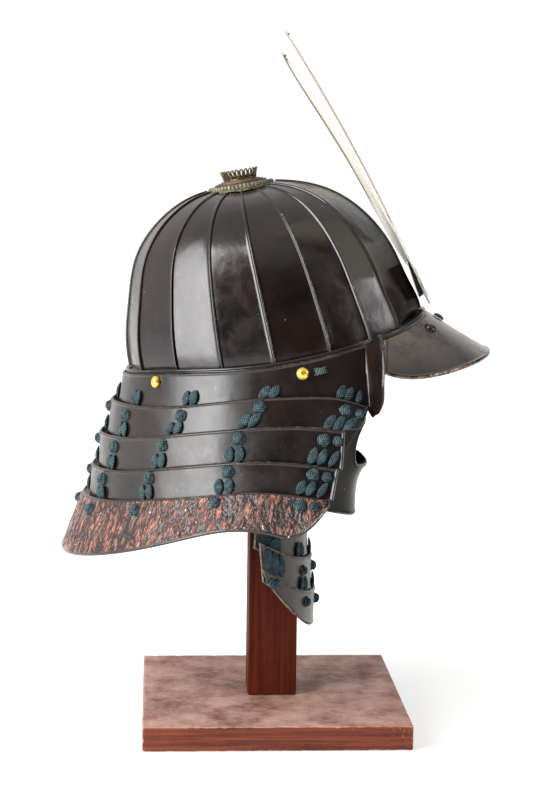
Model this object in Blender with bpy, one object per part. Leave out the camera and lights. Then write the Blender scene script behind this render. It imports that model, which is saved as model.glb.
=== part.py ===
"""Samurai helmet (kabuto) with its chin guard and throat guard, on a plain wooden stand.

World axes: +X is the helmet's front, +Z is up, and the origin is the centre of the stand
board's underside. Bowl, peak, crest and neck guard are laid out in the helmet frame, which
sits in the middle of the bowl's mouth and leans back. The tables below are in millimetres,
and MM turns them into metres. Angles go round the helmet from its front towards the
wearer's right, so a positive angle has a negative Y.
"""
from collections import namedtuple
from functools import partial
from math import acos, cos, degrees, hypot, pi, radians, sin

import bmesh
import bpy
import numpy as np
from mathutils import Matrix, Vector

MM = 0.001
GAP = 0.3

# ---------------------------------------------------------------- stand (world frame)
BOARD_SIDE = 203.2
BOARD_THICKNESS = 19.05
BOARD_EDGE_ROUND = 1.2
POST_SIDE = 38.1
POST_TOP = 351.7
POST_EDGE_ROUND = 1.0
STAND_TURN = radians(3.48)
HEAD_BLOCK_PROFILE = ((0, 413), (24, 410), (42, 400), (52, 384), (54, 366), (51, 355), (44, 352), (0, 352))
HEAD_BLOCK_SIDES = 20
PEG_HEIGHT = 185.0
PEG_RADIUS = 5.0
PEG_END = 61.0
PEG_SIDES = 12

# ---------------------------------------------------------------- helmet frame
HELMET_CENTRE = (-2.5, 0.0, 303.0)
HELMET_LEAN = radians(12.5)

# ---------------------------------------------------------------- bowl
BOWL_HALF_LENGTH = 114.1
BOWL_HALF_WIDTH = 100.0
BOWL_MOUTH_SHIFT = 1.7
BOWL_HEIGHT = 119.0
PLATE_THICKNESS = 1.6
PLATE_GAP = 0.4
PLATE_ROWS = 8
PLATE_SPANS = 3
CROWN_HOLE_RADIUS = 26.5
RIB_WIDTH = 2.2
RIB_HEIGHT = 2.0
RIB_HEIGHT_TOP = 1.0

# Distance of the bowl's outline from the middle of its mouth, as a share of an ellipse's,
# for each angle of rise from the mouth to the crown, and how much less it is at the two sides
Meridian = namedtuple("Meridian", "rise back front side_less")
MERIDIAN_TABLE = (
    Meridian(0, 1.000, 1.000, 0.000),
    Meridian(12, 0.997, 0.977, 0.000),
    Meridian(25, 1.000, 0.993, 0.001),
    Meridian(40, 1.044, 1.018, 0.004),
    Meridian(55, 1.055, 1.027, 0.010),
    Meridian(70, 1.040, 1.012, 0.022),
    Meridian(90, 1.000, 1.000, 0.026),
)

# The ribs of one half, from the front centre to the back centre, and the rim's height there
Rib = namedtuple("Rib", "angle rim_height")
RIB_TABLE = (
    Rib(0, -3.0),
    Rib(36.3, -8.6),
    Rib(52.4, -10.7),
    Rib(70, -11.5),
    Rib(91, -11.0),
    Rib(110.7, -7.6),
    Rib(130.4, -3.4),
    Rib(153.5, -1.6),
    Rib(180, -1.2),
)

# ---------------------------------------------------------------- rim band
RIM_STEPS = 48
LIP_REACH = 4.6
LIP_THICKNESS = 2.3
LIP_ROUND = 0.7
SKIRT_OUTER = 4.0
SKIRT_INNER = 2.4
SKIRT_DEPTH = 11.0

# ---------------------------------------------------------------- peak
PEAK_THICKNESS = 1.8
PEAK_INNER_ANGLE = 48.0
PEAK_COLUMNS = 16
PEAK_ROWS = 3
PEAK_CENTRE_X = 76.0
PEAK_REACH = 87.5
PEAK_HALF_WIDTH = 105.0
PEAK_INNER_OUTSET = 6.3
PEAK_INNER_DROP = 3.4
PEAK_EDGE_HEIGHT = -45.3
PEAK_CORNER_LIFT = 12.0
PEAK_CORNER_POWER = 8
PEAK_CROWN = -0.8
PEAK_RIVET_ANGLES = (-21.0, 0.0, 21.0)
PEAK_RIVET_PLACE = 0.17
PEAK_RIVET_RADIUS = 3.9
PEAK_RIVET_HEIGHT = 2.4

# ---------------------------------------------------------------- crest and its holder
CREST_FOOT = (125.4, -0.2)
CREST_LEAN_LOW = radians(15.4)
CREST_LEAN_HIGH = radians(20.9)
CREST_LENGTH = 229.0
CREST_THICKNESS = 1.2
CREST_TONGUE_HALF = 8.0
# The horns sweep back sideways by this slope, past the tongue, and the plate rolls forward to make up for it
HORN_SWEEP = 0.0437
HORN_SWEEP_START = 10.0
CREST_ROLL = 6.4
CREST_ROLL_START = 15.0
CREST_ROLL_LENGTH = 200.0
# One horn's two edges: distance from the middle line, and length up the plate
HORN_OUTER = ((8, 22), (40, 33), (70, 48), (86, 66), (95, 88), (106, 114), (123, 140), (144, 170), (158, 196),
              (158, 214), (141, 229))
HORN_INNER = ((0, 60), (13, 67), (23, 77), (31, 90), (38, 105), (49, 126), (66, 150), (88, 177), (112, 201),
              (131, 217), (139.5, 226))
HOLDER_BOTTOM = 9.0
HOLDER_TOP = 37.0
HOLDER_HALF_WIDTH = 10.0
HOLDER_THICK = 3.8
HOLDER_THIN = 1.0
HOLDER_FOOT_HEIGHT = 3.6

# ---------------------------------------------------------------- crown ornament (its own frame)
ORNAMENT_HEIGHT = 118.1
ORNAMENT_LEAN = radians(9.85)
ORNAMENT_SIDES = 32
ORNAMENT_LOBES = 16
# Cross-sections as (radius, height), from the outer edge inwards over the top and back underneath
RING_SECTION = ((25.2, -3.4), (25.2, 0.9), (19.0, 2.0), (9.0, 2.0), (9.0, -1.0), (20.0, -3.4))
RING_LOBE = 0.5
COLLAR_SECTION = ((19.6, 2.3), (19.4, 3.0), (13.5, 4.2), (9.0, 4.2), (9.0, 2.3), (15.0, 2.3))
CROWN_SECTION = ((12.8, 4.5), (13.0, 8.0), (14.2, 12.2), (13.0, 12.2), (11.8, 8.0), (11.6, 4.5))

# ---------------------------------------------------------------- neck guard
LAME_THICKNESS = 1.8
LAME_COLUMNS = 28
LAME_ROWS = 2
LAME_RIM_OUTSET = 7.0
NECK_STEP = 0.004
LAME_OVERLAP = 7.5
LAME_OVERLAP_END = 0.8
LAME_OVERLAP_PLACE = 0.06
Lame = namedtuple("Lame", "top_reach top_half top_end_x low_reach low_half low_end_x")
NECK_LAMES = (
    Lame(118.8, 106.5, 64, 129.5, 112.0, 59),
    Lame(133.0, 116.0, 60, 143.5, 123.0, 52),
    Lame(147.2, 127.0, 39, 155.0, 132.0, 32),
    Lame(158.7, 137.0, 29, 166.5, 142.0, 21),
    Lame(170.3, 147.0, 18, 195.7, 164.0, 16),
)
# Heights of the top edges of the second to the fifth lame, from a front end to the back centre
LameTop = namedtuple("LameTop", "place second third fourth fifth")
LAME_TOP_TABLE = (
    LameTop(0.000, -56.3, -68.0, -92.0, -110.3),
    LameTop(0.035, -46.0, -61.0, -84.5, -103.0),
    LameTop(0.085, -38.5, -54.7, -76.5, -95.0),
    LameTop(0.150, -32.7, -50.3, -71.6, -91.6),
    LameTop(0.220, -30.0, -48.0, -69.7, -90.0),
    LameTop(0.320, -27.3, -47.4, -69.8, -89.4),
    LameTop(0.410, -23.5, -45.6, -69.0, -88.7),
    LameTop(0.500, -22.5, -45.5, -69.0, -89.0),
)
# The lowest lame's bottom edge: place from the front end to the back centre, and height
HemPoint = namedtuple("HemPoint", "place height")
HEM_TABLE = (
    HemPoint(0.000, -111.0),
    HemPoint(0.014, -119.0),
    HemPoint(0.033, -126.2),
    HemPoint(0.047, -127.2),
    HemPoint(0.064, -123.0),
    HemPoint(0.090, -117.2),
    HemPoint(0.120, -114.6),
    HemPoint(0.160, -115.8),
    HemPoint(0.220, -119.8),
    HemPoint(0.300, -123.8),
    HemPoint(0.400, -126.6),
    HemPoint(0.500, -127.7),
)
# The turned-out flap at each front end of the top lame: width from the fold, and its edges
Flap = namedtuple("Flap", "forward outward top low")
FLAP_TABLE = (
    Flap(1.5, 1.5, -12.5, -63.5),
    Flap(2.8, 5.0, -11.5, -63.0),
    Flap(5.5, 12.0, -9.0, -61.0),
    Flap(8.3, 20.0, -6.5, -56.5),
    Flap(10.8, 27.0, -6.0, -49.5),
    Flap(12.4, 32.0, -13.0, -39.5),
)
GOLD_RIVET_ANGLES = (81.0, 138.0)
GOLD_RIVET_DOWN = (0.26, 0.18)
GOLD_RIVET_RADIUS = 4.7
GOLD_RIVET_HEIGHT = 3.6

# ---------------------------------------------------------------- lacing
LACING_PLACES = (0.012, 0.031, 0.140, 0.260, 0.378, 0.5, 0.622, 0.740, 0.860, 0.969, 0.988)
LACING_WIDTH = 7.0
LACING_THICKNESS = 2.4
LACING_LIFT = 1.3
LACING_ABOVE = 9.0
LACING_BELOW = 12.0
LACING_SHARE = 0.38

# ---------------------------------------------------------------- chin guard (world frame)
CHIN_THICKNESS = 1.8
CHIN_ROWS = 5
CHIN_LIP_POWER = 4.0
CHIN_CHEEK_POWER = 1.3
CHIN_CHEEK_START = 1.6
ChinStation = namedtuple("ChinStation", "low_x low_half low_z high_x high_half high_z")
CHIN_TABLE = (
    ChinStation(64.5, 0, 164.5, 73.5, 0, 204),
    ChinStation(63.5, 18, 165.5, 72.0, 18, 204.5),
    ChinStation(59.5, 34, 168, 68.0, 34, 206),
    ChinStation(52, 44, 170.5, 62.5, 44, 211),
    ChinStation(43, 50, 173, 64.5, 52, 232),
    ChinStation(34, 54, 175, 68.5, 57, 247),
    ChinStation(20, 58, 178, 52.0, 61, 253),
    ChinStation(6, 61, 181, 28.0, 64, 256),
    ChinStation(-8, 63, 185, 4.0, 66, 254),
)

# ---------------------------------------------------------------- throat guard (world frame)
THROAT_THICKNESS = 1.6
THROAT_COLUMNS = 16
THROAT_ROWS = 2
THROAT_STEP = 1.0
ThroatLame = namedtuple("ThroatLame", "top_x top_z top_end_x top_half top_end_z "
                                      "low_x low_z low_end_x low_half low_end_z")
THROAT_LAMES = (
    ThroatLame(27.0, 166, -12, 56, 176, 28.0, 124, -14, 60, 146),
    ThroatLame(31.0, 130, -10, 66, 151, 30.5, 97, -7, 66, 121),
    ThroatLame(34.0, 103, -7, 70, 131, 33.0, 75.5, -4, 70, 121.5),
)
THROAT_LACING_ANGLES = (-70.0, -35.0, 0.0, 35.0, 70.0)
THROAT_LACING_LIFT = 2.0

COLOURS = {
    "lacquer": ((0.020, 0.013, 0.011), 0.22, 0.0),
    "steel": ((0.16, 0.14, 0.12), 0.42, 0.7),
    "gilt": ((0.80, 0.56, 0.20), 0.30, 1.0),
    "pale_gilt": ((0.86, 0.80, 0.66), 0.28, 1.0),
    "patina": ((0.30, 0.28, 0.19), 0.5, 0.8),
    "bark": ((0.20, 0.07, 0.04), 0.45, 0.0),
    "cord": ((0.02, 0.07, 0.09), 0.9, 0.0),
    "wood": ((0.18, 0.045, 0.030), 0.5, 0.0),
}


# ================================================================ curves and frames
def lerp(a, b, share):
    return a + (b - a) * share


def cubic_curve(knots, values, flat_ends):
    """A smooth curve through the table's values; flat_ends gives it level ends."""
    knots = np.asarray(knots, float)
    values = np.asarray(values, float)
    count = len(knots)
    steps = np.diff(knots)
    slopes = np.diff(values) / steps
    matrix = np.zeros((count, count))
    right = np.zeros(count)
    matrix[0, 0] = matrix[-1, -1] = 1.0
    if flat_ends:
        matrix[0, :2] = 2 * steps[0], steps[0]
        matrix[-1, -2:] = steps[-1], 2 * steps[-1]
        right[0] = 6 * slopes[0]
        right[-1] = -6 * slopes[-1]
    for row in range(1, count - 1):
        matrix[row, row - 1:row + 2] = steps[row - 1], 2 * (steps[row - 1] + steps[row]), steps[row]
        right[row] = 6 * (slopes[row] - slopes[row - 1])
    bends = np.linalg.solve(matrix, right)

    def curve(place):
        part = int(np.clip(np.searchsorted(knots, place) - 1, 0, count - 2))
        step = steps[part]
        before = (knots[part + 1] - place) / step
        after = (place - knots[part]) / step
        bent = (before ** 3 - before) * bends[part] + (after ** 3 - after) * bends[part + 1]
        return float(before * values[part] + after * values[part + 1] + bent * step ** 2 / 6)

    return curve


def table_curve(table, knot, column, flat_ends=False):
    return cubic_curve([getattr(row, knot) for row in table], [getattr(row, column) for row in table], flat_ends)


back_bulge = table_curve(MERIDIAN_TABLE, "rise", "back", flat_ends=True)
front_bulge = table_curve(MERIDIAN_TABLE, "rise", "front", flat_ends=True)
side_less = table_curve(MERIDIAN_TABLE, "rise", "side_less", flat_ends=True)
rim_drop = table_curve(RIB_TABLE, "angle", "rim_height", flat_ends=True)
hem_height = table_curve(HEM_TABLE, "place", "height")
lame_tops = [table_curve(LAME_TOP_TABLE, "place", column) for column in LameTop._fields[1:]]


def rim_height(angle):
    """Height of the bowl's lower edge at an angle in degrees round the helmet."""
    return rim_drop(abs((angle + 180.0) % 360.0 - 180.0))


def bowl_bulge(angle, rise):
    """The bowl's outline as a share of an ellipse's, at an angle round it and an angle of rise."""
    turn = radians(angle)
    return lerp(back_bulge(rise), front_bulge(rise), (1 + cos(turn)) / 2) - side_less(rise) * sin(turn) ** 2


def crown_rise(angle):
    """The angle of rise at which a plate ends, at the edge of the hole in the crown."""
    turn = radians(angle)
    reach = hypot(BOWL_HALF_LENGTH * cos(turn), BOWL_HALF_WIDTH * sin(turn))
    low, high = 60.0, 89.0
    for _ in range(30):
        middle = (low + high) / 2
        if bowl_bulge(angle, middle) * cos(radians(middle)) * reach > CROWN_HOLE_RADIUS:
            low = middle
        else:
            high = middle
    return low


def bowl_point(angle, rise):
    """A point of the bowl's outer face; both angles are in degrees."""
    turn, lift = radians(angle), radians(rise)
    bulge = bowl_bulge(angle, rise)
    out, up = bulge * cos(lift), bulge * sin(lift)
    base = rim_height(angle)
    return Vector((BOWL_MOUTH_SHIFT * (1 - up) + BOWL_HALF_LENGTH * out * cos(turn),
                   -BOWL_HALF_WIDTH * out * sin(turn),
                   base + (BOWL_HEIGHT - base) * up))


def surface_normal(surface, angle, rise, step=0.2):
    """Outward direction of a surface that takes an angle round and a place up."""
    along = surface(angle + step, rise) - surface(angle - step, rise)
    upward = surface(angle, rise + step) - surface(angle, rise - step)
    return upward.cross(along).normalized()


def sheet_frame(surface, place, down, step):
    """Point, direction along and outward direction of a surface at a place and a way down it."""
    along = surface(place + step, down) - surface(place - step, down)
    downward = surface(place, 1) - surface(place, 0)
    return surface(place, down), along.normalized(), along.cross(downward).normalized()


def rim_point(angle, outset, height):
    """A point beside the bowl's lower edge: outset from its face, height from the edge."""
    along = bowl_point(angle + 0.2, 0) - bowl_point(angle - 0.2, 0)
    outward = Vector((along.y, -along.x, 0)).normalized()
    if outward.dot(bowl_point(angle, 0)) < 0:
        outward.negate()
    place = bowl_point(angle, 0) + outward * outset
    place.z += height
    return place


# ================================================================ mesh helpers
def clear_scene():
    for old in list(bpy.data.objects):
        bpy.data.objects.remove(old, do_unlink=True)


def make_material(name):
    colour, roughness, metallic = COLOURS[name]
    material = bpy.data.materials.new(name)
    material.use_nodes = True
    shader = material.node_tree.nodes["Principled BSDF"]
    shader.inputs["Base Color"].default_value = (*colour, 1)
    shader.inputs["Roughness"].default_value = roughness
    shader.inputs["Metallic"].default_value = metallic
    return material


def make_frame(name, location, lean=0.0, turn=0.0):
    """An empty that a group of parts is laid out in."""
    frame = bpy.data.objects.new(name, None)
    bpy.context.scene.collection.objects.link(frame)
    frame.location = Vector(location) * MM
    frame.rotation_euler = (0.0, -lean, turn)
    return frame


def make_object(name, points, faces, material, frame, orient=False):
    """One named mesh object from points in millimetres and faces."""
    mesh = bpy.data.meshes.new(name)
    mesh.from_pydata([Vector(point) * MM for point in points], [], faces)
    if orient:
        shape = bmesh.new()
        shape.from_mesh(mesh)
        bmesh.ops.recalc_face_normals(shape, faces=shape.faces)
        shape.to_mesh(mesh)
        shape.free()
    mesh.shade_smooth()
    mesh.set_sharp_from_angle(angle=radians(35))
    made = bpy.data.objects.new(name, mesh)
    bpy.context.scene.collection.objects.link(made)
    made.data.materials.append(materials[material])
    made.parent = frame
    return made


def sheet(name, grid, thickness, material, frame, outward=False):
    """A plate from a grid of points on its face; rows run down and columns to the right."""
    columns = len(grid[0])
    points = [point for row in grid for point in row]
    faces = [(r * columns + c, r * columns + c + 1, (r + 1) * columns + c + 1, (r + 1) * columns + c)
             for r in range(len(grid) - 1) for c in range(columns - 1)]
    made = make_object(name, points, faces, material, frame)
    thicken(made, thickness, outward)
    return made


def thicken(plate, thickness, outward=False):
    shell = plate.modifiers.new("thickness", "SOLIDIFY")
    shell.thickness = thickness * MM
    shell.offset = 1.0 if outward else -1.0
    shell.use_even_offset = True
    shell.thickness_clamp = 1.0


def loft(name, rings, material, frame, closed=False):
    """A solid through rings of equally many points, capped unless it closes on itself."""
    size = len(rings[0])
    points = [point for ring in rings for point in ring]
    last = len(rings) if closed else len(rings) - 1
    faces = []
    for row in range(last):
        here, there = row * size, (row + 1) % len(rings) * size
        faces += [(here + i, here + (i + 1) % size, there + (i + 1) % size, there + i) for i in range(size)]
    if not closed:
        faces.append(tuple(range(size)))
        faces.append(tuple(range(len(points) - size, len(points))))
    return make_object(name, points, faces, material, frame, orient=True)


def turned(name, profile, sides, material, frame, place=Matrix()):
    """A solid turned about its Z axis; the profile's two ends are on the axis."""
    ends = [place @ Vector((0, 0, profile[0][1])), place @ Vector((0, 0, profile[-1][1]))]
    points = list(ends)
    for radius, height in profile[1:-1]:
        points += [place @ Vector((radius * cos(2 * pi * i / sides), radius * sin(2 * pi * i / sides), height))
                   for i in range(sides)]
    rings = len(profile) - 2
    faces = []
    for i in range(sides):
        j = (i + 1) % sides
        faces.append((0, 2 + i, 2 + j))
        faces.append((1, 2 + (rings - 1) * sides + j, 2 + (rings - 1) * sides + i))
        faces += [(2 + k * sides + i, 2 + (k + 1) * sides + i, 2 + (k + 1) * sides + j, 2 + k * sides + j)
                  for k in range(rings - 1)]
    return make_object(name, points, faces, material, frame, orient=True)


def rivet(name, centre, outward, radius, height, material, frame):
    """A domed rivet head standing a hair off the plate it holds."""
    turn = outward.to_track_quat("Z", "Y").to_matrix().to_4x4()
    place = Matrix.Translation(centre + outward * GAP) @ turn
    profile = ((0, height), (radius * 0.55, height * 0.84), (radius * 0.88, height * 0.45), (radius, 0), (0, 0))
    return turned(name, profile, 12, material, frame, place)


# ================================================================ bowl
def build_bowl_plates(frame):
    """The bowl's plates, each with a raised rib along the edge nearer the front on the right half."""
    half = [rib.angle for rib in RIB_TABLE]
    ribs = half + [360 - angle for angle in reversed(half[1:-1])]
    for number, start in enumerate(ribs):
        end = ribs[number + 1] if number + 1 < len(ribs) else 360
        rings = [plate_ring(start, end, row / PLATE_ROWS) for row in range(PLATE_ROWS + 1)]
        loft(f"bowl_plate_{number + 1:02d}", rings, "lacquer", frame)


def plate_ring(start, end, share):
    """One level's cross-section of a bowl plate between two ribs; share is how far up it is."""
    rise = share * crown_rise((start + end) / 2)
    per_degree = (bowl_point(start + 0.5, rise) - bowl_point(start - 0.5, rise)).length
    rib_turn = RIB_WIDTH / per_degree
    left = start - rib_turn / 2
    foot = start + rib_turn / 2
    right = end - rib_turn / 2 - PLATE_GAP / per_degree
    spans = [lerp(foot, right, step / PLATE_SPANS) for step in range(PLATE_SPANS + 1)]
    rib_height = lerp(RIB_HEIGHT, RIB_HEIGHT_TOP, share)
    outer = [(left, rib_height), (foot, rib_height)] + [(angle, 0.0) for angle in spans]
    inner = [(angle, -PLATE_THICKNESS) for angle in reversed([left] + spans[1:])]
    ring = []
    for angle, height in outer + inner:
        level = share * crown_rise(angle)
        ring.append(bowl_point(angle, level) + surface_normal(bowl_point, angle, level) * height)
    return ring


def build_rim(frame):
    """The band that the bowl's plates stand on, with a lip outside and a skirt below."""
    section = ((-PLATE_THICKNESS, -GAP), (LIP_REACH - LIP_ROUND, -GAP), (LIP_REACH, -GAP - LIP_ROUND),
               (LIP_REACH, -LIP_THICKNESS), (SKIRT_OUTER, -LIP_THICKNESS), (SKIRT_OUTER, -SKIRT_DEPTH),
               (SKIRT_INNER, -SKIRT_DEPTH), (SKIRT_INNER, -LIP_THICKNESS), (-PLATE_THICKNESS, -LIP_THICKNESS))
    rings = [[rim_point(360 * step / RIM_STEPS, out, up) for out, up in section] for step in range(RIM_STEPS)]
    loft("bowl_rim", rings, "lacquer", frame, closed=True)


# ================================================================ peak and crest
def peak_point(side, place):
    """A point of the peak: side runs -1 to 1 from left to right, place 0 to 1 outwards."""
    inner = rim_point(PEAK_INNER_ANGLE * side, PEAK_INNER_OUTSET, -PEAK_INNER_DROP)
    turn = side * pi / 2
    outer = Vector((PEAK_CENTRE_X + PEAK_REACH * cos(turn), -PEAK_HALF_WIDTH * sin(turn),
                    PEAK_EDGE_HEIGHT + PEAK_CORNER_LIFT * abs(side) ** PEAK_CORNER_POWER))
    point = inner.lerp(outer, place)
    point.z += PEAK_CROWN * sin(pi * place)
    return point


def build_peak(frame):
    """The peak over the brow, and the three rivets that hold it."""
    grid = [[peak_point(2 * column / PEAK_COLUMNS - 1, row / PEAK_ROWS) for column in range(PEAK_COLUMNS + 1)]
            for row in range(PEAK_ROWS + 1)]
    sheet("peak", grid, PEAK_THICKNESS, "steel", frame)
    for number, angle in enumerate(PEAK_RIVET_ANGLES):
        side = angle / PEAK_INNER_ANGLE
        centre = peak_point(side, PEAK_RIVET_PLACE)
        along = peak_point(side + 0.02, PEAK_RIVET_PLACE) - peak_point(side - 0.02, PEAK_RIVET_PLACE)
        outer = peak_point(side, PEAK_RIVET_PLACE + 0.05) - peak_point(side, PEAK_RIVET_PLACE - 0.05)
        outward = along.cross(outer).normalized()
        rivet(f"peak_rivet_{number + 1}", centre, outward, PEAK_RIVET_RADIUS, PEAK_RIVET_HEIGHT, "steel", frame)


def crest_point(half, length, depth=0.0):
    """A point of the crest's plate, depth behind its front face."""
    bend = (CREST_LEAN_HIGH - CREST_LEAN_LOW) / CREST_LENGTH
    lean = CREST_LEAN_LOW + bend * length
    back = (cos(CREST_LEAN_LOW) - cos(lean)) / bend
    up = (sin(lean) - sin(CREST_LEAN_LOW)) / bend
    rolled = min(max((length - CREST_ROLL_START) / CREST_ROLL_LENGTH, 0.0), 1.0)
    forward = CREST_ROLL * sin(pi / 2 * rolled) - HORN_SWEEP * max(abs(half) - HORN_SWEEP_START, 0.0)
    return Vector((CREST_FOOT[0] - back + forward - depth * cos(lean), -half,
                   CREST_FOOT[1] + up - depth * sin(lean)))


def build_crest(frame):
    """The two-horned crest, one thin plate with a tongue that goes in front of its holder."""
    outer = [(-half, length) for half, length in reversed(HORN_OUTER)] + list(HORN_OUTER)
    inner = [(-half, length) for half, length in reversed(HORN_INNER)] + list(HORN_INNER)
    tongue = [(-CREST_TONGUE_HALF, 0), (CREST_TONGUE_HALF, 0)]
    middle = len(HORN_OUTER)
    inner.pop(middle)
    points = [crest_point(half, length) for half, length in inner + outer + tongue]
    top, low = len(inner), len(inner) + len(outer)
    faces = []
    for column in range(len(outer) - 1):
        upper = column if column < middle else column - 1
        if column == middle - 1:
            faces.append((upper, top + column + 1, top + column))
        else:
            faces.append((upper, upper + 1, top + column + 1, top + column))
    faces.append((top + middle - 1, top + middle, low + 1, low))
    plate = make_object("crest", points, faces, "pale_gilt", frame)
    thicken(plate, CREST_THICKNESS)


def build_crest_holder(frame):
    """The bracket on the bowl's front that the crest's tongue slips onto."""
    clear = CREST_THICKNESS + GAP
    foot_in = bowl_point(0, 3).x + RIB_HEIGHT + GAP
    low = crest_point(0, HOLDER_BOTTOM, clear)
    outline = [
        crest_point(0, HOLDER_TOP, clear),
        low,
        Vector((foot_in, 0, low.z - 2.2)),
        Vector((foot_in, 0, low.z - 2.2 + HOLDER_FOOT_HEIGHT)),
        crest_point(0, HOLDER_BOTTOM + HOLDER_FOOT_HEIGHT, clear + HOLDER_THICK),
        crest_point(0, HOLDER_TOP, clear + HOLDER_THIN),
    ]
    rings = [[Vector((point.x, side * HOLDER_HALF_WIDTH, point.z)) for point in outline] for side in (-1, 1)]
    loft("crest_holder", rings, "lacquer", frame)


# ================================================================ crown ornament
def ornament_ring(name, section, lobe_depth, material, frame):
    """A ring of the ornament; lobes scallop the two outermost corners of its section."""
    rings = []
    for step in range(ORNAMENT_SIDES):
        turn = 2 * pi * step / ORNAMENT_SIDES
        lobe = lobe_depth * cos(ORNAMENT_LOBES * turn)
        reaches = [radius + lobe if place < 2 else radius for place, (radius, _) in enumerate(section)]
        rings.append([Vector((reach * cos(turn), reach * sin(turn), height))
                      for reach, (_, height) in zip(reaches, section)])
    loft(name, rings, material, frame, closed=True)


def build_crown_ornament(frame):
    """The ornament over the hole in the bowl's crown: scalloped ring, collar and crown of petals."""
    ornament_ring("ornament_ring", RING_SECTION, RING_LOBE, "patina", frame)
    ornament_ring("ornament_collar", COLLAR_SECTION, 0.0, "patina", frame)
    ornament_ring("ornament_crown", CROWN_SECTION, 0.0, "gilt", frame)


# ================================================================ neck guard
def neck_height(number, place, top):
    """Height of a lame's top or bottom edge at a place along it."""
    near = min(place, 1 - place)
    if top:
        return lame_tops[number - 1](near)
    if number == len(NECK_LAMES) - 1:
        return hem_height(near)
    overlap = lerp(LAME_OVERLAP_END, LAME_OVERLAP, min(1.0, near / LAME_OVERLAP_PLACE))
    return lame_tops[number](near) - overlap


def neck_edge(number, place, top):
    """A point of a lame's top or bottom edge; place runs 0 to 1 from right end to left end."""
    lame = NECK_LAMES[number]
    reach, half, end_x = lame[:3] if top else lame[3:]
    end_angle = degrees(acos(end_x / reach))
    angle = lerp(end_angle, 360 - end_angle, place)
    if top and number == 0:
        return rim_point(angle, LAME_RIM_OUTSET, -LIP_THICKNESS - GAP - 0.2)
    return Vector((reach * cos(radians(angle)), -half * sin(radians(angle)), neck_height(number, place, top)))


def neck_point(number, place, down):
    """A point of a lame's outer face; down runs 0 to 1 from its top edge to its bottom edge."""
    return neck_edge(number, place, True).lerp(neck_edge(number, place, False), down)


def neck_places():
    """Places along a lame, closer together towards its two front ends."""
    return [(1 - cos(pi * step / LAME_COLUMNS)) / 2 for step in range(LAME_COLUMNS + 1)]


def build_neck_guard(frame):
    """The five lames, the top one with its two front ends turned out as flaps."""
    for number in range(len(NECK_LAMES)):
        grid = [[neck_point(number, place, row / LAME_ROWS) for place in neck_places()]
                for row in range(LAME_ROWS + 1)]
        if number == 0:
            grid = add_flaps(grid)
        material = "bark" if number == len(NECK_LAMES) - 1 else "lacquer"
        sheet(f"neck_lame_{number + 1}", grid, LAME_THICKNESS, material, frame)


def add_flaps(grid):
    """Adds the columns of the turned-out flaps at both ends of the top lame's grid."""
    wide = []
    for row, points in enumerate(grid):
        share = row / (len(grid) - 1)
        flap = [Vector((points[0].x + column.forward, points[0].y - column.outward,
                        lerp(column.top, column.low, share))) for column in FLAP_TABLE]
        mirrored = [Vector((point.x, -point.y, point.z)) for point in flap]
        wide.append(list(reversed(flap)) + points + mirrored)
    return wide


def build_gold_rivets(frame):
    """Two gilt rivets on each side of the top lame."""
    number = 0
    for side in (1, -1):
        for angle, down in zip(GOLD_RIVET_ANGLES, GOLD_RIVET_DOWN):
            number += 1
            place = rivet_place(angle)
            if side < 0:
                place = 1 - place
            centre, _, outward = sheet_frame(partial(neck_point, 0), place, down, NECK_STEP)
            rivet(f"gold_rivet_{number}", centre, outward, GOLD_RIVET_RADIUS, GOLD_RIVET_HEIGHT, "gilt", frame)


def rivet_place(angle):
    """Place along the top lame of an angle round the helmet."""
    lame = NECK_LAMES[0]
    end = degrees(acos(lame.top_end_x / lame.top_reach))
    return (angle - end) / (360 - 2 * end)


# ================================================================ lacing
def strap(name, path, frame):
    """A flat strap along a path of (point, direction across, outward direction)."""
    rings = []
    for point, across, outward in path:
        half, depth = across * LACING_WIDTH / 2, outward * LACING_THICKNESS
        rings.append([point - half, point + half, point + half + depth, point - half + depth])
    loft(name, rings, "cord", frame)


def lacing_path(surface, lames, place, step, lift):
    """Where a column of lacing runs: down each lame's face and over the next one's top edge."""
    tops = [surface(number, place, 0) for number in range(lames)] + [surface(lames - 1, place, 1)]
    path = []
    for number in range(lames - 1):
        edge = tops[number + 1]
        above = min(LACING_ABOVE, LACING_SHARE * (tops[number].z - edge.z))
        below = min(LACING_BELOW, LACING_SHARE * (edge - tops[number + 2]).length)
        start = (tops[number].z - edge.z - above) / (tops[number].z - surface(number, place, 1).z)
        end = below / (surface(number + 1, place, 1) - edge).length
        for lame, down in ((number, start), (number + 1, 0), (number + 1, end)):
            point, across, outward = sheet_frame(partial(surface, lame), place, down, step)
            path.append((point + outward * lift, across, outward))
    return path


def build_neck_lacing(frame):
    for number, place in enumerate(LACING_PLACES):
        path = lacing_path(neck_point, len(NECK_LAMES), place, NECK_STEP, LACING_LIFT)
        strap(f"neck_lacing_{number + 1:02d}", path, frame)


# ================================================================ chin guard and throat guard
def chin_curves():
    """Curves of each column of the chin guard's table over -1 to 1, left to right."""
    count = len(CHIN_TABLE) - 1
    places = [step / count for step in range(-count, count + 1)]
    curves = {}
    for column in ChinStation._fields:
        mirrored = -1 if "half" in column else 1
        one_side = [getattr(row, column) for row in CHIN_TABLE]
        both = [mirrored * value for value in reversed(one_side[1:])] + one_side
        curves[column] = cubic_curve(places, both, False)
    return curves


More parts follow.
